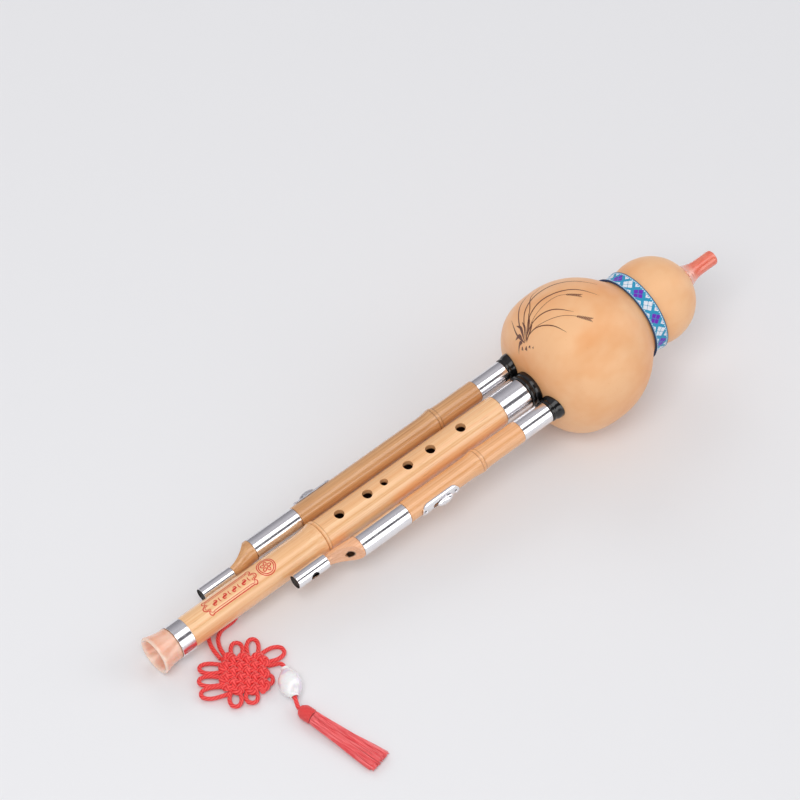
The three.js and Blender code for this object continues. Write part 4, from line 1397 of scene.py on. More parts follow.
@dataclass
class MainPipe:
    """The fingered bamboo pipe, its two chrome ferrules and the flared bell."""

    culm: Culm = field(default_factory=lambda: Culm(
        node=MAIN_NODE, node_radius=11.4, low=9.9, high=10.3, spread=12.0, decay=7.0, groove=0.9,
        groove_width=1.5))
    start: float = 13.8
    shoulder: float = 279.7
    ferrule_length: float = 19.3
    top_radius: float = 9.9
    seat: float = 9.1
    ring_length: float = 9.85
    ring_radius: float = 10.5
    ring_bore: float = 9.8
    ring_seat: float = 9.5
    counterbore: float = 8.2
    counterbore_end: float = 20.9
    tenon: float = 7.6
    tenon_length: float = 14.5
    drill_reach: float = 13.0
    holes: tuple[tuple[float, float], ...] = ((138.5, 3.1), (159.9, 3.1), (172.6, 2.4), (190.9, 3.1),
                                              (208.2, 3.1), (231.6, 3.1))
    thumb_hole: tuple[float, float] = (245.0, 3.1)
    tassel_hole: tuple[float, float] = (58.0, 1.9)
    tassel_turn: float = math.radians(17)
    frame_start: float = 41.5
    frame_end: float = 71.5
    frame_half: float = 4.9
    seal_centre: float = 83.5

    def build(self) -> None:
        """Builds the pipe with its holes, ferrules, bell and painted lines."""
        ferrule = self.shoulder - self.ferrule_length
        low = self.start + self.ring_length + FIT
        end = self.shoulder + self.tenon_length
        line = [(self.start, self.counterbore), (self.start, self.ring_seat), (low, self.ring_seat),
                (low, self.culm.low), *self.culm.rows(), (ferrule - 30, self.culm.high),
                (ferrule - FIT, self.top_radius), (ferrule - FIT, self.seat - FIT),
                (self.shoulder, self.seat - FIT), (self.shoulder, self.tenon), (end, self.tenon),
                (end, MAIN_BORE), (self.counterbore_end, MAIN_BORE), (self.counterbore_end, self.counterbore),
                (self.start, self.counterbore)]
        pipe = turned("main_culm", line, 96)
        turns = [(place, radius, 0.0) for place, radius in self.holes]
        turns.append((*self.thumb_hole, math.pi))
        turns += [(*self.tassel_hole, math.pi + side * self.tassel_turn) for side in (-1, 1)]
        combine(pipe, [across(radius, place, turn, self.drill_reach) for place, radius, turn in turns])
        soften(pipe, 0.3, 3, 50)
        dress(pipe, MAIN_BAMBOO, "main_pipe", "main_bamboo", "main_pipe")
        top = turned("main_top_sleeve", ring_outline(self.top_radius, self.seat, ferrule, self.shoulder), 96)
        dress(top, CHROME, "main_pipe", "chrome", "main_top_ferrule")
        line = ring_outline(self.ring_radius, self.ring_bore, self.start, self.start + self.ring_length, 0.35)
        dress(turned("bell_sleeve", line, 96), CHROME, "main_pipe", "chrome", "bell_ferrule")
        self.turn_bell()
        self.paint_marks()

    def turn_bell(self) -> None:
        """Turns the bell: a rounded rim, a trumpet-like back, a dished mouth and a spigot in the pipe."""
        rim, throat, mouth, length = 12.13, 10.15, 10.3, 13.5
        lip, spigot, spigot_end = 0.9, 7.9, length + 7
        line = [(0.35, mouth), (0.1, 10.6), (0.0, 11.0)]
        for i in range(1, 7):
            turn = math.pi / 2 * i / 6
            line.append((lip - lip * math.cos(turn), rim - lip + lip * math.sin(turn)))
        for i in range(1, 15):
            share = i / 14
            line.append((1.5 + 9.3 * share, throat + (rim - throat) * (1 - share) ** 1.6))
        line += [(length - 0.3, throat), (length, throat - 0.3), (length, spigot), (spigot_end, spigot),
                 (spigot_end, MAIN_BORE)]
        for i in range(17):
            share = i / 16
            line.append((10.0 * (1 - share) + 0.35 * share, MAIN_BORE + (mouth - MAIN_BORE) * share ** 1.4))
        dress(turned("bell_horn", line, 96), BELL_RESIN, "main_pipe", "peach_resin", "bell")

    def paint_marks(self) -> None:
        """Paints the scrolled frame and the round outline with a flower below the finger holes."""
        def surface(place: float, arc: float) -> Vector:
            """Finds a point on the culm below the finger holes.

            Args:
                place: Its place along the pipe.
                arc: Its way round from the top.

            Returns:
                The point, just over the culm.
            """
            radius = self.culm.low + 0.05
            turn = arc / radius
            return Vector((place, -radius * math.sin(turn), radius * math.cos(turn)))

        scroll = ((0.0, 1.0), (1.3, 1.12), (2.5, 0.8), (1.5, 0.42), (3.4, 0.3), (4.3, 0.0), (3.4, -0.3),
                  (1.5, -0.42), (2.5, -0.8), (1.3, -1.12), (0.0, -1.0))
        strokes = []
        for inset, line_width in ((0.0, 0.65), (1.25, 0.4)):
            low, high, wide = self.frame_start + inset, self.frame_end - inset, self.frame_half - inset
            even = (line_width, line_width, line_width)
            for side in (-1, 1):
                edge = tuple((place, side * wide) for place in (low, (low + high) / 2, high))
                strokes.append(Stroke(edge, even))
            for end, out in ((low, -1), (high, 1)):
                strokes.append(Stroke(tuple((end + out * a, wide * b) for a, b in scroll), even))
        for k in range(4):
            middle = 45.8 + 7.1 * k
            for side in (-1, 1):
                curl = [(middle + 2.6 * share * math.cos(share * 5.6) * side,
                         (1.0 + 1.5 * share * math.sin(share * 5.6)) * side) for share in
                        (0.12, 0.25, 0.4, 0.55, 0.7, 0.85, 1.0)]
                strokes.append(Stroke(tuple(curl), (0.4, 0.95, 0.35)))
            comma = ((middle + 3.5, -1.7), (middle + 3.0, 0.0), (middle + 3.6, 1.7))
            strokes.append(Stroke(comma, (0.2, 0.7, 0.2)))
        for radius in (5.6, 4.5):
            turns = [math.pi * k / 12 for k in range(25)]
            ring = [(self.seal_centre + radius * math.cos(turn), radius * math.sin(turn)) for turn in turns]
            strokes.append(Stroke(tuple(ring), (0.6, 0.6, 0.6)))
        for k in range(5):
            turn = math.tau * k / 5
            petal = [(self.seal_centre + r * math.cos(turn + a), r * math.sin(turn + a))
                     for r, a in ((0.7, 0.0), (2.3, -0.42), (3.5, 0.0), (2.3, 0.42), (0.7, 0.0))]
            strokes.append(Stroke(tuple(petal), (0.4, 0.65, 0.4)))
        dress(painted("main_culm_red_marks", strokes, surface), RED_INK, "main_pipe", "main_bamboo")


@dataclass
class Drone:
    """One drone pipe at the side, with its ferrules, flat tail, sliding tube and thumb slide.

    Attributes:
        side: 1 for the left drone and -1 for the right one.
        tail_start: Place of the tail's tip.
        ferrule_start: Place of the lower ferrule's end beside the tail.
        ferrule_end: Place of its other end.
        switch_place: Middle of the thumb slide's plate.
        rest_offset: The button's place from there.
        tube_turn: How far the tube sits below the drone's axis, as an angle round it.
        scoop_turn: How far the tail's scoop faces up or down.
        bamboo: Finish of the pipe.
        tail_bamboo: Finish of the tail.
        opening: Length of the hollow that the scoop opens; the tail's finish paints it dark as shade.
    """

    side: int
    tail_start: float
    ferrule_start: float
    ferrule_end: float
    switch_place: float
    rest_offset: float
    tube_turn: float
    scoop_turn: float
    bamboo: LacqueredBamboo
    tail_bamboo: LacqueredBamboo
    body: float = 7.0
    seat: float = 6.15
    tenon: float = 4.6
    tenon_length: float = 12.0
    shoulder: float = 281.5
    top_length: float = 21.7
    top_radius: float = 6.85
    vent: float = 1.5
    vent_offset: float = 2.7
    recess: tuple[float, float] = (15.6, 5.8)
    recess_floor: float = 5.5
    tail_tip: float = 3.6
    tail_root: float = 6.9
    tail_lean: float = 3.3
    opening: float = 10.0
    peg: float = 1.9
    peg_length: float = 17.0
    tube_radius: float = 4.7
    tube_length: float = 22.8
    tube_offset: float = 4.6
    port: float = 2.8
    port_place: float = 11.7
    plate_length: float = 27.8
    plate_width: float = 9.6
    plate_thickness: float = 0.6
    nail: float = 0.9
    button: tuple[float, float, float] = (5.75, 3.0, 2.3)

    @property
    def label(self) -> str:
        """Gives the side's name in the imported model."""
        return "left" if self.side > 0 else "right"

    @property
    def place(self) -> Matrix:
        """Gives the drone axis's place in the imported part's frame."""
        return PLACE @ Matrix.Translation((0, self.side * DRONE_SPACING * MM, 0))

    @property
    def outward(self) -> float:
        """Gives the turn round X that points away from the main pipe."""
        return -self.side * math.pi / 2

    @property
    def inward(self) -> tuple[float, float]:
        """Gives the way from the drone's axis to its tube's axis, in Y and Z."""
        return -self.side * math.cos(self.tube_turn), -math.sin(self.tube_turn)

    def part(self, name: str, outline: Outline, segments: int = 72, place: Matrix | None = None) -> Piece:
        """Turns a piece on the drone's axis, or on another place's axis."""
        return finish_mesh(f"{self.label}_{name}", turned_shape(outline, segments), place=place or self.place)

    def build(self) -> None:
        """Builds the culm, the ferrules, the tail, the tube and the slide."""
        joint = (self.ferrule_start + self.ferrule_end) / 2
        top = self.shoulder - self.top_length
        end = self.shoulder + self.tenon_length
        culm = Culm(node=DRONE_NODE, node_radius=7.8, low=self.body, high=self.body, spread=9.0, decay=9.0,
                    groove=0.4, groove_width=1.3)
        line = [(joint, DRONE_BORE), (joint, self.seat), (self.ferrule_end + FIT, self.seat),
                (self.ferrule_end + FIT, self.body), *culm.rows(), (top - FIT, self.body),
                (top - FIT, self.seat), (self.shoulder, self.seat), (self.shoulder, self.tenon),
                (end, self.tenon), (end, DRONE_BORE), (joint, DRONE_BORE)]
        pipe = self.part("drone_culm", line, 84)
        outline = stadium(self.switch_place, *self.recess)
        recess = raised(outline, self.recess_floor, self.body + 1, self.outward)
        vent = across(self.vent, self.switch_place + self.vent_offset, self.outward, self.body + 1)
        combine(pipe, [vent, recess])
        soften(pipe, 0.2, 2, 50)
        slot = f"{self.label}_pipe"
        dress(pipe, self.bamboo, slot, "drone_bamboo", slot)
        for name, radius, low, high in (("top", self.top_radius, top, self.shoulder),
                                        ("lower", self.body, self.ferrule_start, self.ferrule_end)):
            sleeve = self.part(f"{name}_sleeve", ring_outline(radius, self.seat + FIT, low, high, 0.25))
            dress(sleeve, CHROME, slot, "chrome", f"{self.label}_{name}_ferrule")
        self.carve_tail(joint - FIT)
        self.turn_tube()
        self.fit_slide()

    def carve_tail(self, shank: float) -> None:
        """Carves the tail: a taper that leans to the tube's side, with one long flat scoop and a peg.

        Args:
            shank: Place of the hidden end inside the ferrule.
        """
        rows, edge = 20, self.ferrule_start - FIT
        line = [(self.tail_start, 0.0)]
        for i in range(rows + 1):
            share = i / rows
            width = self.tail_tip + (self.tail_root - self.tail_tip) * math.sin(math.pi / 2 * share)
            line.append((self.tail_start + (edge - self.tail_start) * share, width))
        line += [(edge, self.seat), (shank, self.seat), (shank, 0.0)]
        shape = turned_shape(line, 72)
        for vert in shape.verts:
            share = min(1.0, max(0.0, (vert.co.x / MM - self.tail_start) / (edge - self.tail_start)))
            lean = self.tail_lean * (1 - share * share * (3 - 2 * share))
            vert.co.y += self.inward[0] * lean * MM
            vert.co.z += self.inward[1] * lean * MM
        tail = finish_mesh(f"{self.label}_carved_tail", shape, place=self.place)
        mouth = self.ferrule_start - self.opening
        bore = [(mouth, 0.0), (mouth + 0.7, 1.3), (mouth + 2.0, 2.2), (mouth + 3.8, 2.6), (shank + 1, 2.6),
                (shank + 1, 0.0)]
        combine(tail, [self.scoop(), turned_shape(bore, 48)])
        peg = turned_shape(rod_outline(self.peg, self.tail_start - self.peg_length, self.tail_start + 3.6), 40)
        bmesh.ops.translate(peg, verts=peg.verts, vec=Vector((0, *self.inward)) * self.tube_offset * MM)
        combine(tail, [peg], Join.ADD)
        soften(tail, 0.25)
        dress(tail, self.tail_bamboo, f"{self.label}_pipe", "drone_bamboo", f"{self.label}_tail")

    def scoop(self) -> Shape:
        """Shapes the cutter of the tail's scoop, whose floor curves from the ferrule down to the tip.

        Returns:
            The cutter, in metres.
        """
        lip, tip = self.ferrule_start - 0.8, self.tail_start - 1
        start_height, dip, end_dip, clear = 7.4, 2.4, 2.1, 12.0
        blade = []
        for i in range(17):
            t = i / 16
            x = lip * (1 - t) ** 2 + 2 * (lip - 5.5) * t * (1 - t) + tip * t * t
            y = start_height * (1 - t) ** 2 - 2 * dip * t * (1 - t) - end_dip * t * t
            blade.append((x, self.side * y))
        blade += [(tip, self.side * clear), (lip, self.side * clear)]
        return raised(blade, -14.0, 14.0, self.side * self.scoop_turn)

    def turn_tube(self) -> None:
        """Turns the bright tube that slides on the tail's peg, its plug and its bush."""
        end = self.tail_start - FIT
        start = end - self.tube_length
        place = self.place @ Matrix.Translation(Vector((0, *self.inward)) * self.tube_offset * MM)
        body = f"{self.label}_tube"
        line = ring_outline(self.tube_radius, self.tube_radius - 0.5, start, end, 0.2)
        tube = self.part("bright_tube", line, 72, place)
        combine(tube, [across(self.port, start + self.port_place, self.outward, self.tube_radius + 1)])
        dress(soften(tube, 0.12), CHROME, body, "chrome", f"{self.label}_slide_tube")
        plug = self.part("black_plug", rod_outline(self.tube_radius - 0.8, start + 0.5, start + 4.5), 48, place)
        dress(soften(plug, 0.3), MATTE_ABS, body, "black_plastic", f"{self.label}_tube_plug")
        line = sleeve_outline(self.tube_radius - 0.8, self.peg + FIT, end - 6.5, end - 0.5)
        bush = self.part("black_bush", line, 48, place)
        dress(soften(bush, 0.2), BLACK_ABS, body, "black_plastic", f"{self.label}_tube_bush")

    def fit_slide(self) -> None:
        """Fits the slotted plate and the button that slides in it."""
        turn = self.outward
        inner, outer = self.body + FIT, self.body + FIT + self.plate_thickness
        centre, half = self.switch_place, self.plate_length / 2
        line = sleeve_outline(outer, inner, centre - half - 1, centre + half + 1)
        plate = self.part("slide_plate", line, 128)
        blank = raised(stadium(centre, self.plate_length, self.plate_width, 24), 0.5, 12, turn)
        combine(plate, [blank], Join.KEEP)
        holes = [raised(stadium(centre, 11.6, 3.6), 0, 12, turn)]
        holes += [across(self.nail, centre + end * (half - 2.3), turn, 12, 24) for end in (-1, 1)]
        combine(plate, holes)
        dress(soften(plate, 0.15), CHROME, f"{self.label}_pipe", "chrome", f"{self.label}_switch_plate")
        self.raise_button(centre + self.rest_offset, outer + FIT)

    def raise_button(self, middle: float, base: float) -> None:
        """Raises the oval button with its neck in the plate's slot and its foot in the recess.

        Args:
            middle: The button's place along the drone.
            base: How far its underside lies from the drone's axis.
        """
        turn = self.outward
        half_length, half_width, height = self.button
        sides = 48
        shape = bmesh.new()
        rings = []
        for high, wide in ((0.0, 0.95), (0.06, 1.0), (0.2, 1.0), (0.45, 0.93), (0.68, 0.78), (0.85, 0.58),
                           (0.95, 0.35)):
            ring = []
            for k in range(sides):
                angle = math.tau * k / sides
                spot = (middle + half_length * wide * math.cos(angle), half_width * wide * math.sin(angle),
                        base + height * high)
                ring.append(shape.verts.new(Vector(spot) * MM))
            rings.append(ring)
        bridge(shape, rings)
        shape.faces.new(list(reversed(rings[0])))
        crown = shape.verts.new(Vector((middle, 0.0, base + height)) * MM)
        for k in range(sides):
            shape.faces.new((rings[-1][k], rings[-1][(k + 1) % sides], crown))
        bmesh.ops.transform(shape, matrix=Matrix.Rotation(turn, 4, "X"), verts=shape.verts)
        button = finish_mesh(f"{self.label}_slide_button", shape, place=self.place)
        neck = raised(stadium(middle, 5, 3), 6.1, base + 0.6, turn)
        combine(button, [neck], Join.ADD)
        foot = raised(stadium(middle, 9, 5.2), 5.8, 6.7, turn)
        combine(button, [foot], Join.ADD)
        dress(button, CHROME, f"{self.label}_switch", "chrome", f"{self.label}_switch_button")


# ---- Knot, pendant and tassel


@dataclass
class FreeCord:
    """One free stretch of the red cord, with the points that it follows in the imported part's frame."""

    name: str
    node: str
    start: tuple[float, float, float]
    offsets: tuple[tuple[float, float, float], ...]
    far_end: str
    carried: tuple[str, ...] = ()
    radius: float = CORD_RADIUS

    def build(self) -> Piece:
        """Returns:
            The new object.
        """
        path = smooth_path([Vector(self.start) + Vector(p) for p in self.offsets], 0.7)
        cord = finish_mesh(self.name, tube_shape(path, self.radius, 20), 50, Matrix())
        dress(cord, CORD_NYLON, "main_pipe", "red_cord", self.node)
        [bpy.data.objects[name] for name in self.carried]
        return cord


@dataclass
class Hangings:
    """The red knot on two strands from the main pipe, and the cord, pendant and tassel below it."""

    centre: tuple[float, float] = (-177.52, -36.20)
    turn: float = math.radians(-37.4)
    half: float = 12.6
    lift: float = 0.2
    thickness: float = 4.9
    bead_start: tuple[float, float, float] = (10.4, -32.6, 6.95)
    bead_heading: float = math.radians(66.2)
    bead_length: float = 21.0
    bead_radius: float = 6.75
    tassel_top: tuple[float, float, float] = (8.3, -38.9, 4.75)
    tassel_heading: float = math.radians(-76)
    cap_radius: float = 4.1
    fringe_length: float = 47.4
    threads: int = 230

    @property
    def middle(self) -> Vector:
        """Gives the knot's centre on the floor."""
        return Vector((*self.centre, 0.0))

    def build(self) -> None:
        """Builds the knot, the pendant and the tassel, then the free cords that join them."""
        knot = self.weave_knot()
        pendant = self.turn_pendant()
        cap = self.wind_cap()
        fringe = self.hang_fringe()
        near = ((0, 0, 0), (0, -0.3, -1.2), (-0.8, -0.5, -3.8), (-2.8, -0.5, -5.7), (-5.6, -0.5, -6.4),
                (-9, -0.7, -6.4), (-13, -1.7, -6.4), (-16.8, -4.3, -6.4), (-19.4, -8.3, -6.4),
                (-20.8, -12.4, -6.4), (-21.6, -16.6, -6.3))
        far = ((0, 0, 0), (0, 0.3, -1.2), (-0.8, 0.5, -3.8), (-2.8, 0.5, -5.7), (-5.6, 0.5, -6.4),
               (-10, 0.2, -6.4), (-15, -1.4, -6.4), (-19.6, -4.9, -6.4), (-22.7, -10, -6.4),
               (-24.3, -16, -6.4), (-24.9, -22.4, -6.3))
        for name, node, offset, route in (("near_strand", "hanging_cord_near", -2.98, near),
                                          ("far_strand", "hanging_cord_far", 2.98, far)):
            FreeCord(name, node=node, start=(-156.47, offset, 8.75), offsets=route,
                     far_end="knot", carried=(knot.name,)).build()
        route = ((14.3, -3.4, 2.65), (16.2, -4.9, 3), (17.9, -6.5, 4.2), (19.4, -8.4, 5.6), (19.6, -10.8, 6.6),
                 (18.9, -13.3, 6.95), (14.6, -23, 6.95), (10.6, -32.1, 6.9), (9.6, -34.4, 6.4),
                 (8.8, -36.8, 5.3), self.tassel_top)
        FreeCord("tassel_stretch", node="tassel_cord", start=tuple(self.middle), offsets=route,
                 far_end="fitting", carried=(pendant.name, cap.name, fringe.name)).build()

    def weave_knot(self) -> Piece:
        """Weaves the pan chang knot: two snaking cords that cross over and under, and the ears round them.

        Returns:
            The new object.
        """
        body = merged(self.lattice() + self.ears())
        body.transform(Matrix.Translation(self.middle * MM) @ Matrix.Rotation(self.turn, 4, "Z"))
        knot = finish_mesh("pan_chang_knot", body, 50, Matrix())
        return dress(knot, CORD_NYLON, "main_pipe", "red_cord", "knot")

    def lattice(self) -> list[Shape]:
        """Lays the two snaking cords of the knot's middle, each over and under the other in turn.

        Returns:
            The two cords, round the knot's centre.
        """
        count, gap, strand, swell = 6, 4.1, 1.72, 1.25
        middle = self.lift + strand + swell
        reach = (count - 1) / 2 * gap
        shapes = []
        for quarter in (0, 1):
            points = []
            for line in range(count):
                across_at = -reach + line * gap
                steps = range(count * 2 + 1)
                order = steps if line % 2 == 0 else reversed(steps)
                for step in order:
                    along = -reach - gap / 2 + step * gap / 2
                    crossing = (step - 1) // 2
                    sign = 1 if (crossing + line + quarter) % 2 == 0 else -1
                    high = swell * sign if step % 2 == 1 else 0.0
                    points.append((along, across_at, middle + high))
                if line < count - 1:
                    side = 1 if line % 2 == 0 else -1
                    points.append((side * (reach + gap / 2 + 1.0), across_at + gap / 2, middle))
            path = smooth_path(points, 0.6)
            if quarter:
                path = [Vector((-p.y, p.x, p.z)) for p in path]
            shapes.append(tube_shape(path, strand, 14))
        return shapes

    def ears(self) -> list[Shape]:
        """Bends the nine loops of cord round the knot's edge.

        Returns:
            The loops, round the knot's centre.
        """
        level = self.lift + self.thickness / 2
        half = self.half
        shares = ((-0.28, 0), (-0.42, 0.3), (-0.5, 0.68), (-0.3, 0.94), (0, 1), (0.3, 0.94), (0.5, 0.68),
                  (0.42, 0.3), (0.28, 0))
        shapes = []
        for x, y, heading, length, width in (
                (-3.8, half, 90, 9.5, 6.8), (5.2, half, 88, 12, 6.8), (11, 11, 26, 13.5, 8.5),
                (-half, 4, 180, 13, 6.8), (-half, -4.8, 181, 13.5, 6.8), (-11, -11.5, 192, 14.5, 7.5),
                (-5.6, -half, 270, 10, 6.8), (3.8, -half, 270, 7.5, 6.8), (half, -4, 0, 3.6, 6.4)):
            spin = Matrix.Rotation(math.radians(heading - 90), 3, "Z")
            root = Vector((x, y, 0))
            ear = [spin @ Vector((a * width, b * (length + 3) - 3, level)) + root for a, b in shares]
            shapes.append(tube_shape(smooth_path(ear, 0.5), CORD_RADIUS, 16))
        return shapes

    def aim(self, start: Vector, heading: float) -> Matrix:
        """Gives the place of a piece whose own X axis starts at a point and runs along a heading."""
        return Matrix.Translation(start * MM) @ Matrix.Rotation(heading, 4, "Z")

    def turn_pendant(self) -> Piece:
        """Turns the oval porcelain bead on the tassel cord.

        Returns:
            The new object.
        """
        rows = 28
        line = []
        for i in range(rows + 1):
            share = (i / rows) ** 0.94
            width = self.bead_radius * max(0.0, math.sin(math.pi * share)) ** 0.66
            line.append((self.bead_length * i / rows, max(2.6, width)))
        end = self.bead_length - 0.05
        line = [(0.3, 1.9), (0.05, 2.2), *[(max(p, 0.05), r) for p, r in line[:-1]], (end, 2.6), (end, 2.2),
                (end - 0.25, 1.9), (0.3, 1.9)]
        place = self.aim(self.middle + Vector(self.bead_start), self.bead_heading)
        bead = finish_mesh("porcelain_bead", turned_shape(line, 64), 60, place)
        return dress(bead, PORCELAIN, "main_pipe", "white_porcelain", "pendant")

    def wind_cap(self) -> Piece:
        """Winds the tassel's cap: a thread that coils round a short core, over a domed shoulder.

        Returns:
            The new object.
        """
        core_radius, core_end = self.cap_radius, 9.0
        core = turned_shape([(0.0, 0.0), (0.0, 2.2), (1.5, 3.4), (3.2, core_radius), (core_end, core_radius),
                             (core_end, 0.0)], 40)
        turns, steps, reach = 11, 20, 8.1
        coil = []
        for k in range(turns * steps + 1):
            angle = math.tau * k / steps
            along = 0.45 + reach * k / (turns * steps)
            radius = min(core_radius + 0.05, 2.1 + (along / 3.0) ** 0.8 * 2.05)
            coil.append(Vector((along, radius * math.sin(angle), radius * math.cos(angle))))
        cap = finish_mesh("tassel_wound_cap", merged([core, tube_shape(coil, 0.42, 8)]), 50,
                          self.aim(self.tassel_start(0.0), self.tassel_heading))
        return dress(cap, CORD_NYLON, "main_pipe", "red_cord", "tassel_cap")

    def tassel_start(self, along: float) -> Vector:
        """Gives a point on the tassel's axis.

        Args:
            along: Its distance from the cap's top.

        Returns:
            The point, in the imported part's frame.
        """
        reach = 0.6 + along
        aside = Vector((math.cos(self.tassel_heading), math.sin(self.tassel_heading), 0)) * reach
        return self.middle + Vector(self.tassel_top) + aside

    def hang_fringe(self) -> Piece:
        """Lays the fringe: fine twisted threads that fan out and settle on the floor.

        Returns:
            The new object.
        """
        root, end_width, end_height, thread = 4.0, 8.2, 1.8, 0.24
        fall = self.tassel_top[2] - self.lift - 2.35
        chance = random.Random(7)
        shapes = []
        for _ in range(self.threads):
            angle = chance.uniform(0, math.tau)
            depth = math.sqrt(chance.uniform(0.12, 1.0))
            reach = self.fringe_length * (1 - 0.07 * chance.random() ** 2)
            sway = chance.uniform(-0.4, 0.4)
            points = []
            for i in range(9):
                share = i / 8
                wide = root * (1 + (end_width / root - 1) * share) * depth
                high = root * (1 + (end_height / root - 1) * math.sqrt(share)) * depth
                y = wide * math.cos(angle) + sway * math.sin(share * 5 + angle)
                y = max(-end_width - 0.1 * share, min(end_width, y))
                points.append((0.2 + reach * share, y, high * math.sin(angle) - fall * math.sqrt(share)))
            shapes.append(tube_shape(smooth_path(points, 2.2), thread, 5))
        place = self.aim(self.tassel_start(9.3), self.tassel_heading)
        fringe = finish_mesh("tassel_threads", merged(shapes), 60, place)
        return dress(fringe, SILK, "main_pipe", "silk_fringe", "tassel_fringe")


# ---- Studio


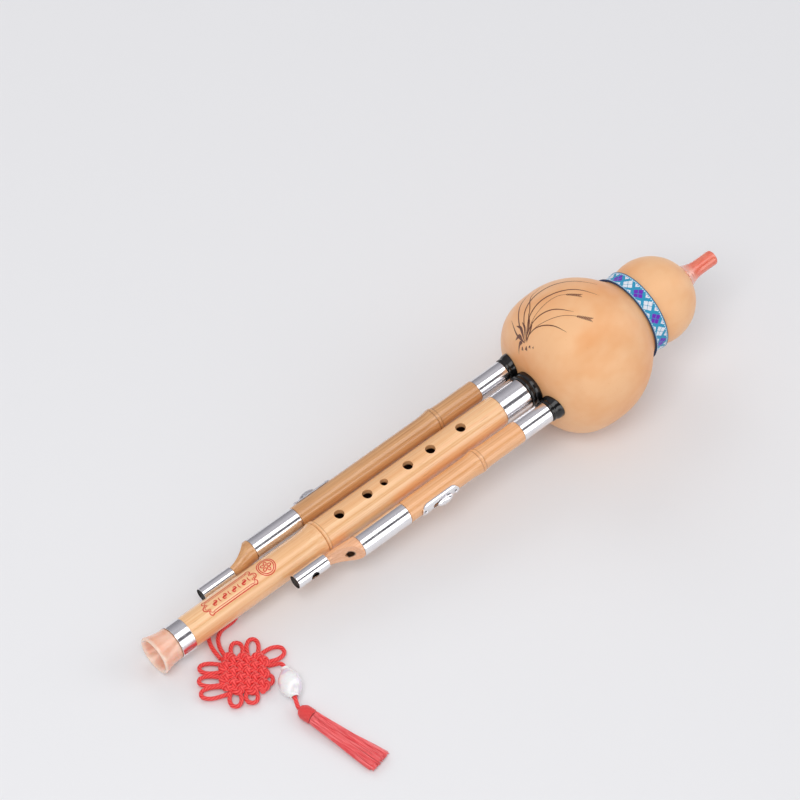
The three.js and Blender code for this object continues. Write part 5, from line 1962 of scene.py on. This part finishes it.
@dataclass
class Studio:
    """The photograph's camera, a pale floor, soft light, and bright and dark bands that only gloss shows."""

    azimuth: float = math.radians(45.34)
    elevation: float = math.radians(50.88)
    roll: float = math.radians(6.10)
    distance: float = 2.7558
    lens: float = 210.79
    target: tuple[float, float, float] = (0.000823, 0.0, 0.030157)
    shift: tuple[float, float] = (-0.02434, 0.03276)

    def place_camera(self) -> None:
        """Sets the scene's camera where the photograph was taken from."""
        ahead = Vector((math.sin(self.azimuth) * math.cos(self.elevation),
                        math.cos(self.azimuth) * math.cos(self.elevation), -math.sin(self.elevation)))
        right = ahead.cross(Vector((0, 0, 1))).normalized()
        up = right.cross(ahead)
        right, up = (right * math.cos(self.roll) + up * math.sin(self.roll),
                     up * math.cos(self.roll) - right * math.sin(self.roll))
        eye = Vector(self.target) - ahead * self.distance + right * self.shift[0] + up * self.shift[1]
        data = bpy.data.cameras.new("camera")
        data.lens = self.lens
        data.sensor_width = 36.0
        data.clip_start, data.clip_end = 0.1, 50.0
        camera = bpy.data.objects.new("camera", data)
        turn = Matrix((right, up, -ahead)).transposed().to_4x4()
        camera.matrix_world = Matrix.Translation(eye) @ turn
        bpy.context.scene.collection.objects.link(camera)
        bpy.context.scene.camera = camera

    def light(self) -> None:
        """Sets the floor, the world and the soft lights."""
        scene = bpy.context.scene
        scene.view_settings.view_transform = "Standard"
        floor_mesh = bpy.data.meshes.new("floor")
        floor_mesh.from_pydata([(-4, -4, 0), (4, -4, 0), (4, 4, 0), (-4, 4, 0)], [], [(0, 1, 2, 3)])
        floor = bpy.data.objects.new("floor", floor_mesh)
        scene.collection.objects.link(floor)
        paper = bpy.data.materials.new("studio_paper")
        paper.use_nodes = True
        set_shader(paper.node_tree, paper.node_tree.nodes["Principled BSDF"], Base_Color=linear("ececee"),
                   Roughness=0.9, Specular_IOR_Level=0.1)
        floor_mesh.materials.append(paper)
        scene.world = self.surroundings()
        self.lamp("key", (-0.9, -0.5, 1.6), 0.9, 13.0)
        self.lamp("fill", (1.3, -1.0, 1.1), 1.2, 5.5)
        self.lamp("back", (0.4, 1.5, 1.3), 1.0, 5.0)

    def surroundings(self) -> bpy.types.World:
        """Makes the world: an even pale light, with long bands across Y for glossy rays.

        Returns:
            The world.
        """
        world = bpy.data.worlds.new("studio")
        world.use_nodes = True
        tree = world.node_tree
        even = tree.nodes["Background"]
        even.inputs["Color"].default_value = linear("f0f0f2")
        even.inputs["Strength"].default_value = 0.62
        heading = add_node(tree, "ShaderNodeTexCoord").outputs["Generated"]
        aside = add_node(tree, "ShaderNodeSeparateXYZ", {0: heading}).outputs["Y"]
        bands = ramp_of(tree, spread(tree, aside, -1.0, 1.0, 0.0, 1.0), (
            (0.0, "a9a7ad"), (0.04, "ffffff"), (0.12, "ffffff"), (0.155, "605e64"), (0.265, "605e64"),
            (0.31, "ffffff"), (0.5, "ffffff"), (0.57, "bab8be"), (0.72, "cccacf"), (0.9, "a8a6ac"),
            (1.0, "8b898e")))
        power = spread(tree, bands, 0.7, 1.0, 0.95, 2.4)
        banded = add_node(tree, "ShaderNodeBackground", {"Color": bands, "Strength": power})
        glossy = add_node(tree, "ShaderNodeLightPath").outputs["Is Glossy Ray"]
        both = add_node(tree, "ShaderNodeMixShader", {0: glossy, 1: even.outputs[0], 2: banded.outputs[0]})
        tree.links.new(both.outputs[0], tree.nodes["World Output"].inputs["Surface"])
        return world

    def facing(self, spot: Point) -> Matrix:
        """Gives the place of a thing at a spot whose own Z axis points away from the object."""
        away = Vector(spot) - Vector((0, 0, 0.03))
        return Matrix.Translation(spot) @ away.to_track_quat("Z", "Y").to_matrix().to_4x4()

    def lamp(self, name: str, spot: Point, size: float, power: float) -> Piece:
        """Adds a square soft light that points at the object.

        Args:
            name: Its name.
            spot: Where it stands.
            size: The length of its side in metres.
            power: Its power in watts.

        Returns:
            The new light.
        """
        data = bpy.data.lights.new(name, "AREA")
        data.size = size
        data.energy = power
        lamp = bpy.data.objects.new(name, data)
        lamp.matrix_world = self.facing(spot)
        lamp.visible_glossy = False
        bpy.context.scene.collection.objects.link(lamp)
        return lamp


def coat_inner_nodes(frame: dict[str, Any]) -> None:
    """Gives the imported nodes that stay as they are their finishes.
    """
    finishes = {"reed_holder": BRASS, "reed_plate": BRASS, "tenon_seal": WAXED, "nail_front": CHROME,
                "nail_rear": CHROME}
    for name, node in frame["nodes"].items():
        for ending, finish in finishes.items():
            if name.endswith(ending):
                for held in node.material_slots:
                    held.link = "OBJECT"
                    held.material = finish.material()
                LOG.info("%s: %s", name, finish.name)


def main() -> None:
    """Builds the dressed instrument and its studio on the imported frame."""
    logging.basicConfig(level=logging.INFO, format="%(name)s: %(message)s")
    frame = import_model()
    studio = Studio()
    studio.place_camera()
    Hangings().build()
    gourd = GourdChest()
    gourd.build()
    bottom = gourd.bulb_centre - gourd.bottom_depth
    PipeSocket("main", offset=0.0, face=bottom - 6.5, flange=11.0, sleeve=10.1, bore=7.9,
               flared=False).build(gourd)
    for side, label in ((1, "left"), (-1, "right")):
        PipeSocket(label, offset=side * DRONE_SPACING, face=bottom - 4.7, flange=7.9, sleeve=7.0,
                   bore=4.9).build(gourd)
    MainPipe().build()
    Drone(side=1, tail_start=70.6, ferrule_start=88.0, ferrule_end=121.9, switch_place=139.4, rest_offset=-2.7,
          tube_turn=math.radians(32), scoop_turn=math.radians(-8), bamboo=LEFT_BAMBOO,
          tail_bamboo=LEFT_TAIL).build()
    Drone(side=-1, tail_start=115.0, ferrule_start=136.6, ferrule_end=171.8, switch_place=193.3,
          rest_offset=2.7, tube_turn=math.radians(-40), scoop_turn=math.radians(8), bamboo=RIGHT_BAMBOO,
          tail_bamboo=RIGHT_TAIL).build()
    coat_inner_nodes(frame)
    studio.light()


if __name__ == "__main__":
    main()
